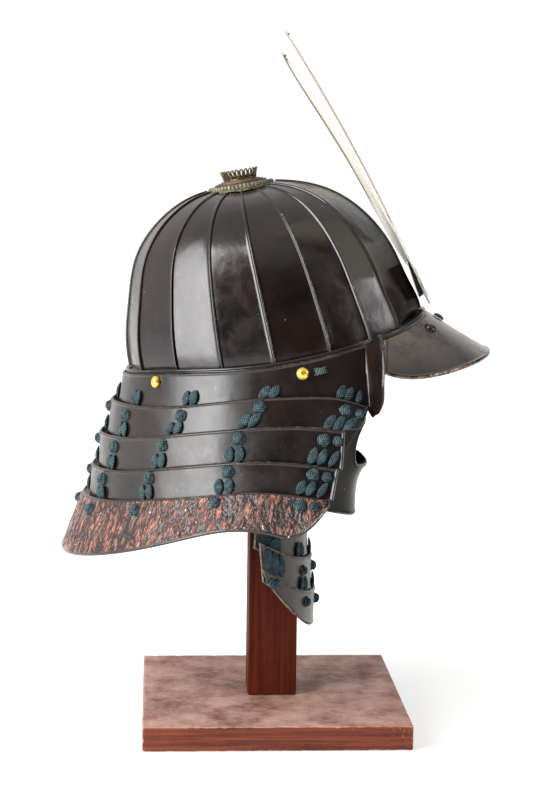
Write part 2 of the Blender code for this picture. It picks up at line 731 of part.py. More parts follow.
def build_chin_guard(frame):
    """The chin guard: one plate round the chin, its cheeks rising and its lip turned forward."""
    curves = chin_curves()
    grid = []
    columns = 3 * (len(CHIN_TABLE) - 1)
    for row in range(CHIN_ROWS + 1):
        up = 1 - row / CHIN_ROWS
        line = []
        for column in range(columns + 1):
            side = 2 * column / columns - 1
            cheek = min(1.0, abs(side) * CHIN_CHEEK_START) ** 3
            share = lerp(up ** CHIN_LIP_POWER, up ** CHIN_CHEEK_POWER, cheek)
            x = lerp(curves["low_x"](side), curves["high_x"](side), share)
            half = lerp(curves["low_half"](side), curves["high_half"](side), up)
            z = lerp(curves["low_z"](side), curves["high_z"](side), up)
            line.append(Vector((x, -half, z)))
        grid.append(line)
    sheet("chin_guard", grid, CHIN_THICKNESS, "steel", frame)


def throat_point(number, angle, down):
    """A point of a throat lame's face; down runs 0 to 1 from its top edge to its bottom edge."""
    lame = THROAT_LAMES[number]
    turn = radians(angle)
    bow = cos(turn)
    top = Vector((lerp(lame.top_end_x, lame.top_x, bow), -lame.top_half * sin(turn),
                  lerp(lame.top_end_z, lame.top_z, bow)))
    low = Vector((lerp(lame.low_end_x, lame.low_x, bow), -lame.low_half * sin(turn),
                  lerp(lame.low_end_z, lame.low_z, bow)))
    return top.lerp(low, down)


def build_throat_guard(frame):
    """Three lames that hang under the chin, and the lacing that joins them."""
    for number in range(len(THROAT_LAMES)):
        grid = [[throat_point(number, lerp(-90, 90, column / THROAT_COLUMNS), row / THROAT_ROWS)
                 for column in range(THROAT_COLUMNS + 1)] for row in range(THROAT_ROWS + 1)]
        sheet(f"throat_lame_{number + 1}", grid, THROAT_THICKNESS, "steel", frame)
    for number, angle in enumerate(THROAT_LACING_ANGLES):
        path = lacing_path(throat_point, len(THROAT_LAMES), angle, THROAT_STEP, THROAT_LACING_LIFT)
        strap(f"throat_lacing_{number + 1}", path, frame)


# ================================================================ stand
def box(name, size, centre, edge_round, material, frame):
    """A wooden block with slightly rounded edges."""
    shape = bmesh.new()
    bmesh.ops.create_cube(shape, size=1.0, matrix=Matrix.Translation(centre) @ Matrix.Diagonal((*size, 1)))
    bmesh.ops.bevel(shape, geom=shape.edges[:], offset=edge_round, segments=2, profile=0.5, affect="EDGES")
    points = [vert.co.copy() for vert in shape.verts]
    faces = [tuple(vert.index for vert in face.verts) for face in shape.faces]
    shape.free()
    return make_object(name, points, faces, material, frame, orient=True)


def build_stand(frame):
    """Board, post, the rounded block under the bowl's crown and the peg behind the chin guard."""
    box("stand_board", (BOARD_SIDE, BOARD_SIDE, BOARD_THICKNESS), (0, 0, BOARD_THICKNESS / 2),
        BOARD_EDGE_ROUND, "wood", frame)
    foot = BOARD_THICKNESS + GAP
    box("stand_post", (POST_SIDE, POST_SIDE, POST_TOP - foot), (0, 0, (POST_TOP + foot) / 2),
        POST_EDGE_ROUND, "wood", frame)
    turned("stand_head_block", HEAD_BLOCK_PROFILE, HEAD_BLOCK_SIDES, "wood", frame)
    start = POST_SIDE / 2 + GAP
    place = Matrix.Translation((start, 0, PEG_HEIGHT)) @ Matrix.Rotation(pi / 2, 4, "Y")
    length = PEG_END - start
    profile = ((0, 0), (PEG_RADIUS, 0), (PEG_RADIUS, length), (0, length))
    turned("stand_chin_peg", profile, PEG_SIDES, "wood", frame, place)


# ================================================================ the whole object
clear_scene()
materials = {name: make_material(name) for name in COLOURS}
world_frame = make_frame("world_frame", (0, 0, 0))
stand_frame = make_frame("stand_frame", (0, 0, 0), turn=STAND_TURN)
helmet_frame = make_frame("helmet_frame", HELMET_CENTRE, lean=HELMET_LEAN)
crown_centre = Vector(HELMET_CENTRE) + Matrix.Rotation(-HELMET_LEAN, 3, "Y") @ Vector((0, 0, ORNAMENT_HEIGHT))
crown_frame = make_frame("crown_frame", crown_centre, lean=ORNAMENT_LEAN)

build_bowl_plates(helmet_frame)
build_rim(helmet_frame)
build_peak(helmet_frame)
build_crest(helmet_frame)
build_crest_holder(helmet_frame)
build_crown_ornament(crown_frame)
build_neck_guard(helmet_frame)
build_gold_rivets(helmet_frame)
build_neck_lacing(helmet_frame)
build_chin_guard(world_frame)
build_throat_guard(world_frame)
build_stand(stand_frame)
bpy.context.view_layer.update()
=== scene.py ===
"""Looks of a samurai helmet (kabuto) with chin guard and throat guard on its plain wooden stand.

World axes: +X is the helmet's front, +Z is up, and the origin is the centre of the stand board's
underside. Sizes are in millimetres and a Frame turns them into metres. Angles round the helmet
start at its front and grow towards the wearer's right, so a positive angle has a negative Y.
"""
import logging
from dataclasses import dataclass, field
from enum import Enum
from functools import cache, partial
from itertools import product
from math import cos, degrees, pi, radians, sin
from typing import Callable, NamedTuple, Optional, Sequence

import bmesh
import bpy
import numpy as np
from mathutils import Euler, Matrix, Vector


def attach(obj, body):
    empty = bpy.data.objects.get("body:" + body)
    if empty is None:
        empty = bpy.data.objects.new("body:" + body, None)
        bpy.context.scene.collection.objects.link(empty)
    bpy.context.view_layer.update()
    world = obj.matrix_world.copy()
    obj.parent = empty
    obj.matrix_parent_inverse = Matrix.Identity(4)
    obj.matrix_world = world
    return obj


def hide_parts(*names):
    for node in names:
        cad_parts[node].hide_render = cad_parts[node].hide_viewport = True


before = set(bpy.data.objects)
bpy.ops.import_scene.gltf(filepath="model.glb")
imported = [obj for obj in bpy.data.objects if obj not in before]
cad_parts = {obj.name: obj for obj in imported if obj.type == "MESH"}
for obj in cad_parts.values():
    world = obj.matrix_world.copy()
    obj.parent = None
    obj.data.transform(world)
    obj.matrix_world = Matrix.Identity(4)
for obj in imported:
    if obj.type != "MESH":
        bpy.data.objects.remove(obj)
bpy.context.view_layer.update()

logging.basicConfig(level=logging.INFO, format="%(message)s")
log = logging.getLogger("kabuto")

MM = 0.001
Array = np.ndarray
Colour = tuple[float, float, float]
Rows = Sequence[Sequence[float]]
Surface = Callable[[Array, Array], Array]


class Slot(Enum):
    """The record's material slots."""

    LACQUER = "lacquer"
    STEEL = "steel"
    GILT = "gilt"
    PALE_GILT = "pale_gilt"
    PATINA = "patina"
    BARK = "bark"
    CORD = "cord"
    WOOD = "wood"


# ---------------------------------------------------------------- numbers, curves and frames
def lerp(start: float, end: float, share: float) -> float:
    """Returns the value that is share of the way from start to end."""
    return start + (end - start) * share


def unit(vectors: Array) -> Array:
    """Returns the vectors with a length of one."""
    return vectors / np.maximum(np.linalg.norm(vectors, axis=-1, keepdims=True), 1e-9)


def xyz(x: Array, y: Array, z: Array) -> Array:
    """Returns points from their three sides."""
    return np.stack(np.broadcast_arrays(x, y, z), axis=-1)


def full_turn(steps: int) -> Array:
    """Returns evenly spread angles once round."""
    return np.linspace(0, 2 * pi, steps, endpoint=False)


def bump(distance: Array, centre: float, half: float) -> Array:
    """Returns the height of a smooth hill, one at its centre and half as wide as its foot is to a side."""
    return np.exp(-(((distance - centre) / half) ** 2))


def ripple(points: Array, wave: float, seed: int) -> Array:
    """Returns the gentle unevenness of hand work, the same on every run.

    Args:
        points: where it is read, in millimetres.
        wave: the typical distance from crest to crest.
        seed: which of many such patterns it is.

    Returns:
        A height of about -1 to 1 at each point.
    """
    picks = np.random.default_rng(seed)
    waves = 7
    total = np.zeros(points.shape[:-1])
    for _ in range(waves):
        way = unit(picks.normal(size=3)) * (2 * pi / (wave * picks.uniform(0.6, 1.7)))
        total += np.sin(points @ way + picks.uniform(0, 2 * pi))
    return total / waves ** 0.5 / 1.4


class Curve:
    """A smooth curve through a table's values."""

    def __init__(self, knots: Array, values: Array, flat_ends: bool = False) -> None:
        """Works out how the curve bends.

        Args:
            knots: the places of the table's rows, in rising order.
            values: the value at each place.
            flat_ends: whether the curve is level at both ends.
        """
        self.knots, self.values, self.steps = knots, values, np.diff(knots)
        beside = np.pad(self.steps, (1, 0)) + np.pad(self.steps, (0, 1))
        matrix = np.diag(2 * beside) + np.diag(self.steps, 1) + np.diag(self.steps, -1)
        right = 6 * np.diff(np.pad(np.diff(values) / self.steps, 1))
        if not flat_ends:
            matrix[[0, -1]], right[[0, -1]] = np.eye(len(knots))[[0, -1]], 0.0
        self.bends = np.linalg.solve(matrix, right)

    def __call__(self, place: Array) -> Array:
        """Returns the curve's value at each place."""
        place = np.asarray(place, float)
        part = np.clip(np.searchsorted(self.knots, place) - 1, 0, len(self.steps) - 1)
        step = self.steps[part]
        before, after = (self.knots[part + 1] - place) / step, (place - self.knots[part]) / step
        bent = (before ** 3 - before) * self.bends[part] + (after ** 3 - after) * self.bends[part + 1]
        return before * self.values[part] + after * self.values[part + 1] + bent * step ** 2 / 6


def curves(table: Rows, flat_ends: bool = False) -> list[Curve]:
    """Returns a curve through each column of a table against its first column."""
    knots, *columns = np.array(table, float).T
    return [Curve(knots, values, flat_ends) for values in columns]


@dataclass(frozen=True)
class Frame:
    """Where a group of pieces is laid out: its centre, how far it leans back and how far it is turned."""

    centre: tuple[float, float, float] = (0.0, 0.0, 0.0)
    lean: float = 0.0
    turn: float = 0.0

    def matrix(self) -> Matrix:
        """Returns the matrix from the frame's millimetres to the world's metres."""
        turned = Euler((0.0, -self.lean, self.turn)).to_matrix().to_4x4()
        return Matrix.Translation(Vector(self.centre) * MM) @ turned @ Matrix.Scale(MM, 4)


HELMET_LEAN = radians(12.5)
HELMET_CENTRE = Vector((-2.5, 0.0, 303.0))
CROWN_CENTRE = HELMET_CENTRE + Matrix.Rotation(-HELMET_LEAN, 3, "Y") @ Vector((0.0, 0.0, 118.1))
WORLD = Frame()
HELMET = Frame(tuple(HELMET_CENTRE), HELMET_LEAN)
CROWN = Frame(tuple(CROWN_CENTRE), radians(9.85))
STAND = Frame(turn=radians(3.48))


class Spot(NamedTuple):
    """A place that something stands on: its centre, and its side, low and outward directions."""

    centre: Array
    axes: Array

    def put(self, points: Array) -> Array:
        """Returns points of the thing's own, moved to where it stands."""
        return points @ self.axes + self.centre


def spot_on(surface: Surface, along: float, down: float, step: float, lift: float = 0.3) -> Spot:
    """Finds a spot on a surface.

    Args:
        surface: takes a place along and a place down and gives points.
        along: the place along.
        down: the place down.
        step: a small step along.
        lift: how far off the surface it is.

    Returns:
        The spot, its side along the surface and its low direction down it.
    """
    side = Vector(surface(along + step, down) - surface(along - step, down)).normalized()
    low = Vector(surface(along, down + 0.05) - surface(along, down - 0.05))
    outward = side.cross(low).normalized()
    low = outward.cross(side).normalized()
    return Spot(np.array(Vector(surface(along, down)) + outward * lift), np.array((side, low, outward)))


# ---------------------------------------------------------------- meshes
FINE_STEPS = (0.0, 0.25, 0.55, 0.9, 1.3, 1.7, 2.2, 2.9, 4.0)
EDGE_LEVELS = (0.25, 0.5, 0.75)
EDGE_BULGE = 0.5
POINTS_MEET = 0.004 * MM
NARROWEST = 0.02


def spread(length: float, middle: int, first: bool = True) -> Array:
    """Returns shares from 0 to 1 that lie close together near the ends.

    Args:
        length: the real length that the shares divide.
        middle: how many even steps lie between the close ones.
        first: whether they lie close at the start too.

    Returns:
        The rising shares.
    """
    fine = np.array(FINE_STEPS) / length
    start = fine if first else np.zeros(1)
    end = 1 - fine[::-1]
    return np.concatenate((start, np.linspace(start[-1], end[0], middle + 1)[1:-1], end))


def grid_normals(grid: Array) -> Array:
    """Returns the outward direction at each point of a grid; rows run down it and columns along it."""
    return unit(np.cross(np.gradient(grid, axis=1), np.gradient(grid, axis=0)))


def run_length(points: Array, axis: int = 0) -> Array:
    """Returns how far each point is from the first one, along the line through them on one axis."""
    steps = np.diff(points, axis=axis, prepend=points.take([0], axis))
    return np.cumsum(np.linalg.norm(steps, axis=-1), axis=axis)


def edge_distances(grid: Array) -> tuple[Array, Array, Array, Array]:
    """Returns how far each point of a grid is from its top, bottom, left and right edges."""
    down, along = run_length(grid, 0), run_length(grid, 1)
    return down, down[-1:] - down, along, along[:, -1:] - along


def turned(profile: Rows, sides: int) -> Array:
    """Returns the rings of a solid turned about its own upright axis.

    Args:
        profile: radius and height of each level, from one end to the other.
        sides: how many steps there are around it.

    Returns:
        The rings, one to a row.
    """
    radius, height = np.array(profile, float).T[..., None]
    radius, turns = np.maximum(radius, NARROWEST), full_turn(sides)
    return xyz(radius * np.cos(turns), radius * np.sin(turns), height)


def dome_profile(radius: float, height: float, steps: int = 9) -> list[tuple[float, float]]:
    """Returns the outline of a domed rivet head, from its foot to its top.

    Args:
        radius: the head's radius.
        height: the head's height.
        steps: how many steps the dome has.

    Returns:
        Radius and height of each level.
    """
    rise = [(radius * cos(pi / 2 * step / steps), height * (0.12 + 0.88 * sin(pi / 2 * step / steps)))
            for step in range(steps + 1)]
    return [(0.0, 0.0), (radius * 0.98, 0.0)] + rise


class Shell:
    """One mesh that is being put together, with the marks that its material reads.

    The wear mark is how worn a point is, 0 to 1, and the lay mark is its place in its own pattern.
    """

    def __init__(self) -> None:
        """Starts with nothing in it."""
        self.points: list[Array] = []
        self.wear: list[Array] = []
        self.lay: list[Array] = []
        self.faces: list[list[int]] = []
        self.count = 0

    def add_points(self, points: Array, wear: Array | float, lay: Optional[Array]) -> Array:
        """Adds points.

        Args:
            points: the points, in millimetres.
            wear: how worn each of them is.
            lay: each point's place in its own pattern, or None for its position.

        Returns:
            The numbers of the new points, in the shape the points came in.
        """
        flat = np.asarray(points, float).reshape(-1, 3)
        numbers = np.arange(self.count, self.count + len(flat)).reshape(points.shape[:-1])
        self.points.append(flat)
        self.wear.append(np.broadcast_to(np.asarray(wear, float), points.shape[:-1]).reshape(-1))
        self.lay.append(flat if lay is None else np.broadcast_to(lay, points.shape).reshape(-1, 3))
        self.count += len(flat)
        return numbers

    def add_quads(self, numbers: Array, wrap_rows: bool = False, wrap_columns: bool = False) -> None:
        """Adds the faces of a grid of point numbers, its last row or column joined to its first if asked."""
        numbers = np.pad(numbers, ((0, int(wrap_rows)), (0, int(wrap_columns))), mode="wrap")
        quads = np.stack((numbers[:-1, :-1], numbers[1:, :-1], numbers[1:, 1:], numbers[:-1, 1:]), axis=-1)
        self.faces += quads.reshape(-1, 4).tolist()

    def add_plate(self, grid: Array, thickness: float, relief: Array | float, wear: Array,
                  lay: Optional[Array] = None) -> "Shell":
        """Adds a plate of even thickness with rounded edges.

        Args:
            grid: the points of its face, rows down and columns to the right.
            thickness: how thick it is.
            relief: how far each point of the face stands proud.
            wear: how worn each point of the face is.
            lay: each point's place in its pattern.

        Returns:
            The mesh itself.
        """
        normals = grid_normals(grid)
        face = grid + normals * np.asarray(relief, float)[..., None]
        back = grid - normals * thickness
        lay = grid if lay is None else lay
        front_numbers, back_numbers = self.add_points(face, wear, lay), self.add_points(back, 0.0, lay)
        self.add_quads(front_numbers)
        self.add_quads(back_numbers[:, ::-1])
        rim, back_rim = self.around(face), self.around(back)
        outward = unit(rim - self.around(face, 1))
        loop = [self.around(front_numbers)]
        for share in EDGE_LEVELS:
            level = rim + (back_rim - rim) * share + outward * (thickness * EDGE_BULGE * sin(pi * share))
            loop.append(self.add_points(level, self.around(wear), self.around(lay)))
        self.add_quads(np.stack((*loop, self.around(back_numbers))), wrap_columns=True)
        return self

    @staticmethod
    def around(grid: Array, inset: int = 0) -> Array:
        """Returns a grid's outermost values in one loop, or those that lie inset steps within it."""
        rows, columns = np.arange(grid.shape[0]), np.arange(grid.shape[1])
        last_row, last_column = rows[-1], columns[-1]
        down = np.concatenate((0 * columns[1:], rows[:-1], 0 * columns[1:] + last_row, rows[:0:-1]))
        along = np.concatenate((columns[:-1], 0 * rows[1:] + last_column, columns[:0:-1], 0 * rows[1:]))
        return grid[down.clip(inset, last_row - inset), along.clip(inset, last_column - inset)]

    def add_rings(self, rings: Array, wear: Array | float = 0.0, lay: Optional[Array] = None,
                  closed: bool = False) -> "Shell":
        """Adds a solid through rings of points, one ring to a row.

        Args:
            rings: the points; each row is one closed ring.
            wear: how worn each point is.
            lay: each point's place in its pattern.
            closed: whether the last ring joins the first; if not, both ends are capped.

        Returns:
            The mesh itself.
        """
        numbers = self.add_points(rings, wear, lay)
        self.add_quads(numbers, wrap_rows=closed, wrap_columns=True)
        if not closed:
            self.faces += [numbers[0].tolist(), numbers[-1][::-1].tolist()]
        return self

    def build(self, name: str, layout: Frame, finish: "Finish", *nodes: str, sharp: float = 40.0) -> None:
        """Makes the piece, puts it on the helmet's body and lets it stand for its plain solids.

        Args:
            name: the piece's name.
            layout: the frame it is laid out in.
            finish: its finish.
            nodes: the plain solids it stands for.
            sharp: the angle over which an edge stays crisp, in degrees.
        """
        mesh = bpy.data.meshes.new(name)
        mesh.from_pydata(np.concatenate(self.points).tolist(), [], self.faces)
        for mark, kind, key, values in (("wear", "FLOAT", "value", self.wear),
                                        ("lay", "FLOAT_VECTOR", "vector", self.lay)):
            mesh.attributes.new(mark, kind, "POINT").data.foreach_set(
                key, np.concatenate(values).astype(np.float32).ravel())
        mesh.transform(layout.matrix())
        shape = bmesh.new()
        shape.from_mesh(mesh)
        bmesh.ops.remove_doubles(shape, verts=shape.verts, dist=POINTS_MEET)
        bmesh.ops.recalc_face_normals(shape, faces=shape.faces)
        shape.to_mesh(mesh)
        shape.free()
        mesh.shade_smooth()
        mesh.set_sharp_from_angle(angle=radians(sharp))
        mesh.materials.append(finish.material())
        piece = bpy.data.objects.new(name, mesh)
        bpy.context.scene.collection.objects.link(piece)
        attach(piece, "root")
        if nodes:
            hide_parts(*nodes)
        log.info("%s: %d faces", name, len(mesh.polygons))


# ---------------------------------------------------------------- finishes
Socket = bpy.types.NodeSocket
Feed = float | tuple | Socket
Feeds = dict[str | int, Feed]
Pair = tuple[float, float]
Layers = tuple[Socket, Socket, Socket]
BLACK, WHITE = (0.0, 0.0, 0.0), (1.0, 1.0, 1.0)


class Wiring:
    """Adds and joins the nodes of one material, surrounding or group."""

    def __init__(self, tree: bpy.types.NodeTree) -> None:
        """Takes the tree that the nodes go into."""
        self.tree = tree

    def add(self, kind: str, feeds: Optional[Feeds] = None, **settings: object) -> bpy.types.Node:
        """Adds a node.

        Args:
            kind: the node's type, without its leading "ShaderNode".
            feeds: what each input takes: a plain value or another node's output.
            settings: the node's own settings.

        Returns:
            The new node.
        """
        node = self.tree.nodes.new("ShaderNode" + kind)
        for name, value in settings.items():
            setattr(node, name, value)
        for name, value in (feeds or {}).items():
            self.feed(node.inputs[name], value)
        return node

    def feed(self, socket: Socket, value: Feed) -> None:
        """Gives an input its plain value or its link."""
        if isinstance(value, bpy.types.NodeSocket):
            self.tree.links.new(value, socket)
        elif isinstance(value, tuple) and socket.type == "RGBA":
            socket.default_value = (*value[:3], 1.0)
        else:
            socket.default_value = value

    def math(self, operation: str, first: Feed, second: Feed = 0.0, clamp: bool = False) -> Socket:
        """Returns what an operation makes of two values."""
        return self.add("Math", {0: first, 1: second}, operation=operation, use_clamp=clamp).outputs[0]

    def times(self, first: Feed, second: Feed) -> Socket:
        """Returns the product of two values."""
        return self.math("MULTIPLY", first, second)

    def plus(self, first: Feed, second: Feed) -> Socket:
        """Returns the sum of two values."""
        return self.math("ADD", first, second)

    def minus(self, first: Feed, second: Feed) -> Socket:
        """Returns the first value less the second."""
        return self.math("SUBTRACT", first, second)

    def span(self, value: Feed, low: Feed, high: Feed, to_low: float = 0.0, to_high: float = 1.0) -> Socket:
        """Returns a value moved smoothly from the span of low to high to the span of to_low to to_high."""
        feeds = {"Value": value, "From Min": low, "From Max": high, "To Min": to_low, "To Max": to_high}
        return self.add("MapRange", feeds, interpolation_type="SMOOTHSTEP").outputs["Result"]

    def blend(self, share: Feed, first: Feed, second: Feed, strength: float = 1.0) -> Socket:
        """Returns a colour between two others.

        Args:
            share: how much of the second colour is in it.
            first: the first colour.
            second: the second colour.
            strength: what the share is multiplied by.

        Returns:
            The colour.
        """
        if strength != 1.0:
            share = self.times(share, strength)
        return self.add("Mix", {0: share, 6: first, 7: second}, data_type="RGBA").outputs[2]

    def noise(self, vector: Feed, scale: Feed, detail: float = 3.0, roughness: float = 0.5,
              distortion: float = 0.0) -> Socket:
        """Returns a cloudy value.

        Args:
            vector: where it is read.
            scale: how many clouds there are in a unit of length.
            detail: how many finer layers it has.
            roughness: how strong the finer layers are.
            distortion: how far the clouds are pulled about.

        Returns:
            The value, about a half on average.
        """
        feeds = {"Vector": vector, "Scale": scale, "Detail": detail, "Roughness": roughness,
                 "Distortion": distortion}
        return self.add("TexNoise", feeds).outputs["Fac"]

    def stretch(self, vector: Feed, scale: tuple[float, float, float], turn: float = 0.0) -> Socket:
        """Returns a place with each of its sides scaled, turned about Z first."""
        turned_place = self.add("Mapping", {"Vector": vector, "Rotation": (0.0, 0.0, turn)}).outputs[0]
        return self.add("Mapping", {"Vector": turned_place, "Scale": scale}).outputs[0]

    def mark(self, name: str, output: str = "Fac") -> Socket:
        """Returns one of the mesh's own marks."""
        return self.add("Attribute", attribute_name=name).outputs[output]

    def sides(self, vector: Socket) -> bpy.types.bpy_prop_collection:
        """Returns the three sides of a place or a direction."""
        return self.add("SeparateXYZ", {"Vector": vector}).outputs

    def use(self, effect: bpy.types.NodeTree, *values: Feed, output: int = 0) -> Socket:
        """Returns one output of a shared effect, placed with its own values in the order of its inputs."""
        return self.add("Group", dict(enumerate(values)), node_tree=effect).outputs[output]


class Effects:
    """The effects that several finishes share, each a node group that is built once."""

    def __init__(self) -> None:
        """Builds every group."""
        self.mottle = self.group(self.make_mottle, ("Mask",), Scale=20.0, Spread=0.2)
        self.specks = self.group(self.make_specks, ("Mask",), Scale=200.0, Share=0.1)
        self.edge_wear = self.group(self.make_edge_wear, ("Mask",), Wear=0.0, Scale=150.0, Reach=0.5)
        self.hand_skin = self.group(self.make_hand_skin, ("Height",), Scale=90.0, Fine=0.2)
        self.scratches = self.group(self.make_scratches, ("Mask",), Scale=30.0, Share=0.2)
        self.wood_grain = self.group(self.make_wood_grain, ("Mask", "Height"), Scale=60.0)
        self.braid = self.group(self.make_braid, ("Mask", "Height"), Scale=1.0)
        self.dust = self.group(self.make_dust, ("Mask",), Scale=60.0, Amount=0.5)

    @staticmethod
    def group(make: Callable[..., tuple[Socket, ...]], outputs: tuple[str, ...],
              **inputs: float) -> bpy.types.NodeTree:
        """Builds one group, which takes a place as its Vector and then some numbers.

        Args:
            make: adds the nodes and returns one socket for each output; its name gives the group's.
            outputs: the names of its outputs.
            inputs: the number that each of its inputs starts from.

        Returns:
            The group.
        """
        tree = bpy.data.node_groups.new(make.__name__.removeprefix("make_"), "ShaderNodeTree")
        tree.interface.new_socket(name="Vector", in_out="INPUT", socket_type="NodeSocketVector")
        for label, start in inputs.items():
            socket = tree.interface.new_socket(name=label, in_out="INPUT", socket_type="NodeSocketFloat")
            socket.default_value = start
        for label in outputs:
            tree.interface.new_socket(name=label, in_out="OUTPUT", socket_type="NodeSocketFloat")
        way_in, way_out = tree.nodes.new("NodeGroupInput"), tree.nodes.new("NodeGroupOutput")
        made = make(Wiring(tree), *[way_in.outputs[label] for label in ("Vector", *inputs)])
        for label, socket in zip(outputs, made):
            tree.links.new(socket, way_out.inputs[label])
        return tree

    @staticmethod
    def make_mottle(wire: Wiring, place: Socket, scale: Socket, soft: Socket) -> tuple[Socket, ...]:
        """Cloudy patches; Spread is how soft their borders are."""
        cloud = wire.noise(place, scale, 6.0, 0.6, 0.3)
        return (wire.span(cloud, wire.minus(0.5, soft), wire.plus(0.5, soft)),)

    @staticmethod
    def make_specks(wire: Wiring, place: Socket, scale: Socket, share: Socket) -> tuple[Socket, ...]:
        """Small scattered specks; Share is how many of them there are."""
        cell = wire.add("TexVoronoi", {"Vector": place, "Scale": scale}, feature="F1").outputs
        chance = wire.add("SeparateColor", {"Color": cell["Color"]}).outputs
        inside = wire.math("LESS_THAN", cell["Distance"], wire.times(chance[1], 0.28))
        return (wire.times(wire.math("LESS_THAN", chance[0], share), inside),)

    @staticmethod
    def make_edge_wear(wire: Wiring, place: Socket, wear: Socket, scale: Socket,
                       reach: Socket) -> tuple[Socket, ...]:
        """Rubbed edges; Wear is where the edges are and Reach how far the rubbing has gone."""
        broken = wire.minus(wire.noise(place, scale, 5.0, 0.65), 0.5)
        worn = wire.plus(wear, wire.times(broken, 1.6))
        over = wire.minus(worn, wire.minus(1.25, reach))
        return (wire.times(wire.span(over, 0.0, 0.22), wire.span(wear, 0.1, 0.5)),)

    @staticmethod
    def make_hand_skin(wire: Wiring, place: Socket, scale: Socket, share: Socket) -> tuple[Socket, ...]:
        """The soft unevenness of a hand-laid coat; Fine is the share of its finest layer."""
        fine = wire.noise(place, wire.times(scale, 9.0), 3.0, 0.6)
        return (wire.plus(wire.noise(place, scale, 2.0, 0.45), wire.times(fine, share)),)

    @staticmethod
    def make_scratches(wire: Wiring, place: Socket, scale: Socket, share: Socket) -> tuple[Socket, ...]:
        """Thin short scratches that cross each other."""
        lines = []
        for turn in (0.5, -0.9):
            cloud = wire.noise(wire.stretch(place, (1.0, 9.0, 2.0), turn), scale, 4.0, 0.7)
            middle = wire.math("ABSOLUTE", wire.minus(cloud, 0.5))
            lines.append(wire.span(middle, 0.0, 0.012, 1.0, 0.0))
        patch = wire.noise(place, wire.times(scale, 0.8), 2.0)
        gate = wire.math("LESS_THAN", wire.minus(1.0, patch), wire.plus(share, 0.25))
        return (wire.times(wire.math("MAXIMUM", *lines), gate),)

    @staticmethod
    def make_wood_grain(wire: Wiring, place: Socket, scale: Socket) -> tuple[Socket, ...]:
        """Grain that runs along the third side of its place."""
        streak = wire.noise(wire.stretch(place, (6.0, 6.0, 0.22)), scale, 5.0, 0.6, 0.3)
        pore = wire.noise(wire.stretch(place, (22.0, 22.0, 0.7)), scale, 3.0, 0.6)
        rise = wire.plus(wire.times(streak, 0.5), wire.times(pore, 0.6))
        return wire.span(streak, 0.32, 0.68), rise

    @staticmethod
    def make_braid(wire: Wiring, place: Socket, scale: Socket) -> tuple[Socket, ...]:
        """A flat braid's slanting strands; its place runs across, along and by cord."""
        across, along, _ = wire.sides(place)
        slant = wire.plus(along, wire.times(wire.math("ABSOLUTE", across), 0.9))
        phase = wire.times(wire.times(slant, scale), 7.5)
        strand = wire.math("ABSOLUTE", wire.math("SINE", phase))
        fuzz = wire.noise(place, 1.1, 2.0, 0.6)
        height = wire.plus(wire.math("POWER", strand, 0.6), wire.times(fuzz, 0.8))
        return wire.span(wire.plus(strand, wire.times(fuzz, 1.6)), 0.85, 1.75), height

    @staticmethod
    def make_dust(wire: Wiring, place: Socket, scale: Socket, amount: Socket) -> tuple[Socket, ...]:
        """Dust that has settled on what faces up."""
        level = wire.span(wire.sides(wire.add("NewGeometry").outputs["Normal"])[2], 0.35, 0.95)
        patch = wire.span(wire.noise(place, scale, 6.0, 0.7), 0.25, 0.7)
        return (wire.times(wire.times(level, patch), amount),)


effects = Effects()


@dataclass(frozen=True)
class Finish:
    """What every finish has: a name, a material slot, and how its shader is set all over.

    A pair of numbers sets a shared effect: how many of it there are in a metre, and its second input.
    """

    name: str
    slot: Slot = Slot.LACQUER
    metallic: float = 0.0
    specular: float = 0.5
    bump_strength: float = 0.3
    bump_reach: float = 0.0005
    rub_scale: float = 260.0
    reach: float = 0.42
    specks: Pair = (300.0, 0.024)
    speck_strength: float = 0.5
    skin: Pair = (95.0, 0.09)
    scratches: Pair = (26.0, 0.12)
    scratch_depth: float = 0.03

    @cache
    def material(self) -> bpy.types.Material:
        """Returns the finished material, the same one each time."""
        material = bpy.data.materials.new(self.name)
        material.use_nodes = True
        wire = Wiring(material.node_tree)
        shader = material.node_tree.nodes["Principled BSDF"].inputs
        shader["Metallic"].default_value = self.metallic
        shader["Specular IOR Level"].default_value = self.specular
        colour, roughness, height = self.surface(wire, wire.add("TexCoord").outputs["Object"])
        feeds = {"Height": height, "Strength": self.bump_strength, "Distance": self.bump_reach}
        raised = wire.add("Bump", feeds).outputs[0]
        for name, value in (("Base Color", colour), ("Roughness", roughness), ("Normal", raised)):
            wire.feed(shader[name], value)
        return material

    def surface(self, wire: Wiring, place: Socket) -> Layers:
        """Adds what is the finish's own.

        Args:
            wire: the material's wiring.
            place: the place on the surface, in metres.

        Returns:
            The colour, the roughness and the height.
        """
        raise NotImplementedError

    def rubbed(self, wire: Wiring, place: Socket) -> Socket:
        """Returns where its edges are rubbed through."""
        return wire.use(effects.edge_wear, place, wire.mark("wear"), self.rub_scale, self.reach)

    def speckled(self, wire: Wiring, place: Socket, base: Socket, colour: Colour) -> Socket:
        """Returns a colour with specks of another on it."""
        return wire.blend(wire.use(effects.specks, place, *self.specks), base, colour, self.speck_strength)

    def scored(self, wire: Wiring, place: Socket) -> Socket:
        """Returns the height of its hand-laid skin with scratches cut into it."""
        lines = wire.times(wire.use(effects.scratches, place, *self.scratches), self.scratch_depth)
        return wire.minus(wire.use(effects.hand_skin, place, *self.skin), lines)


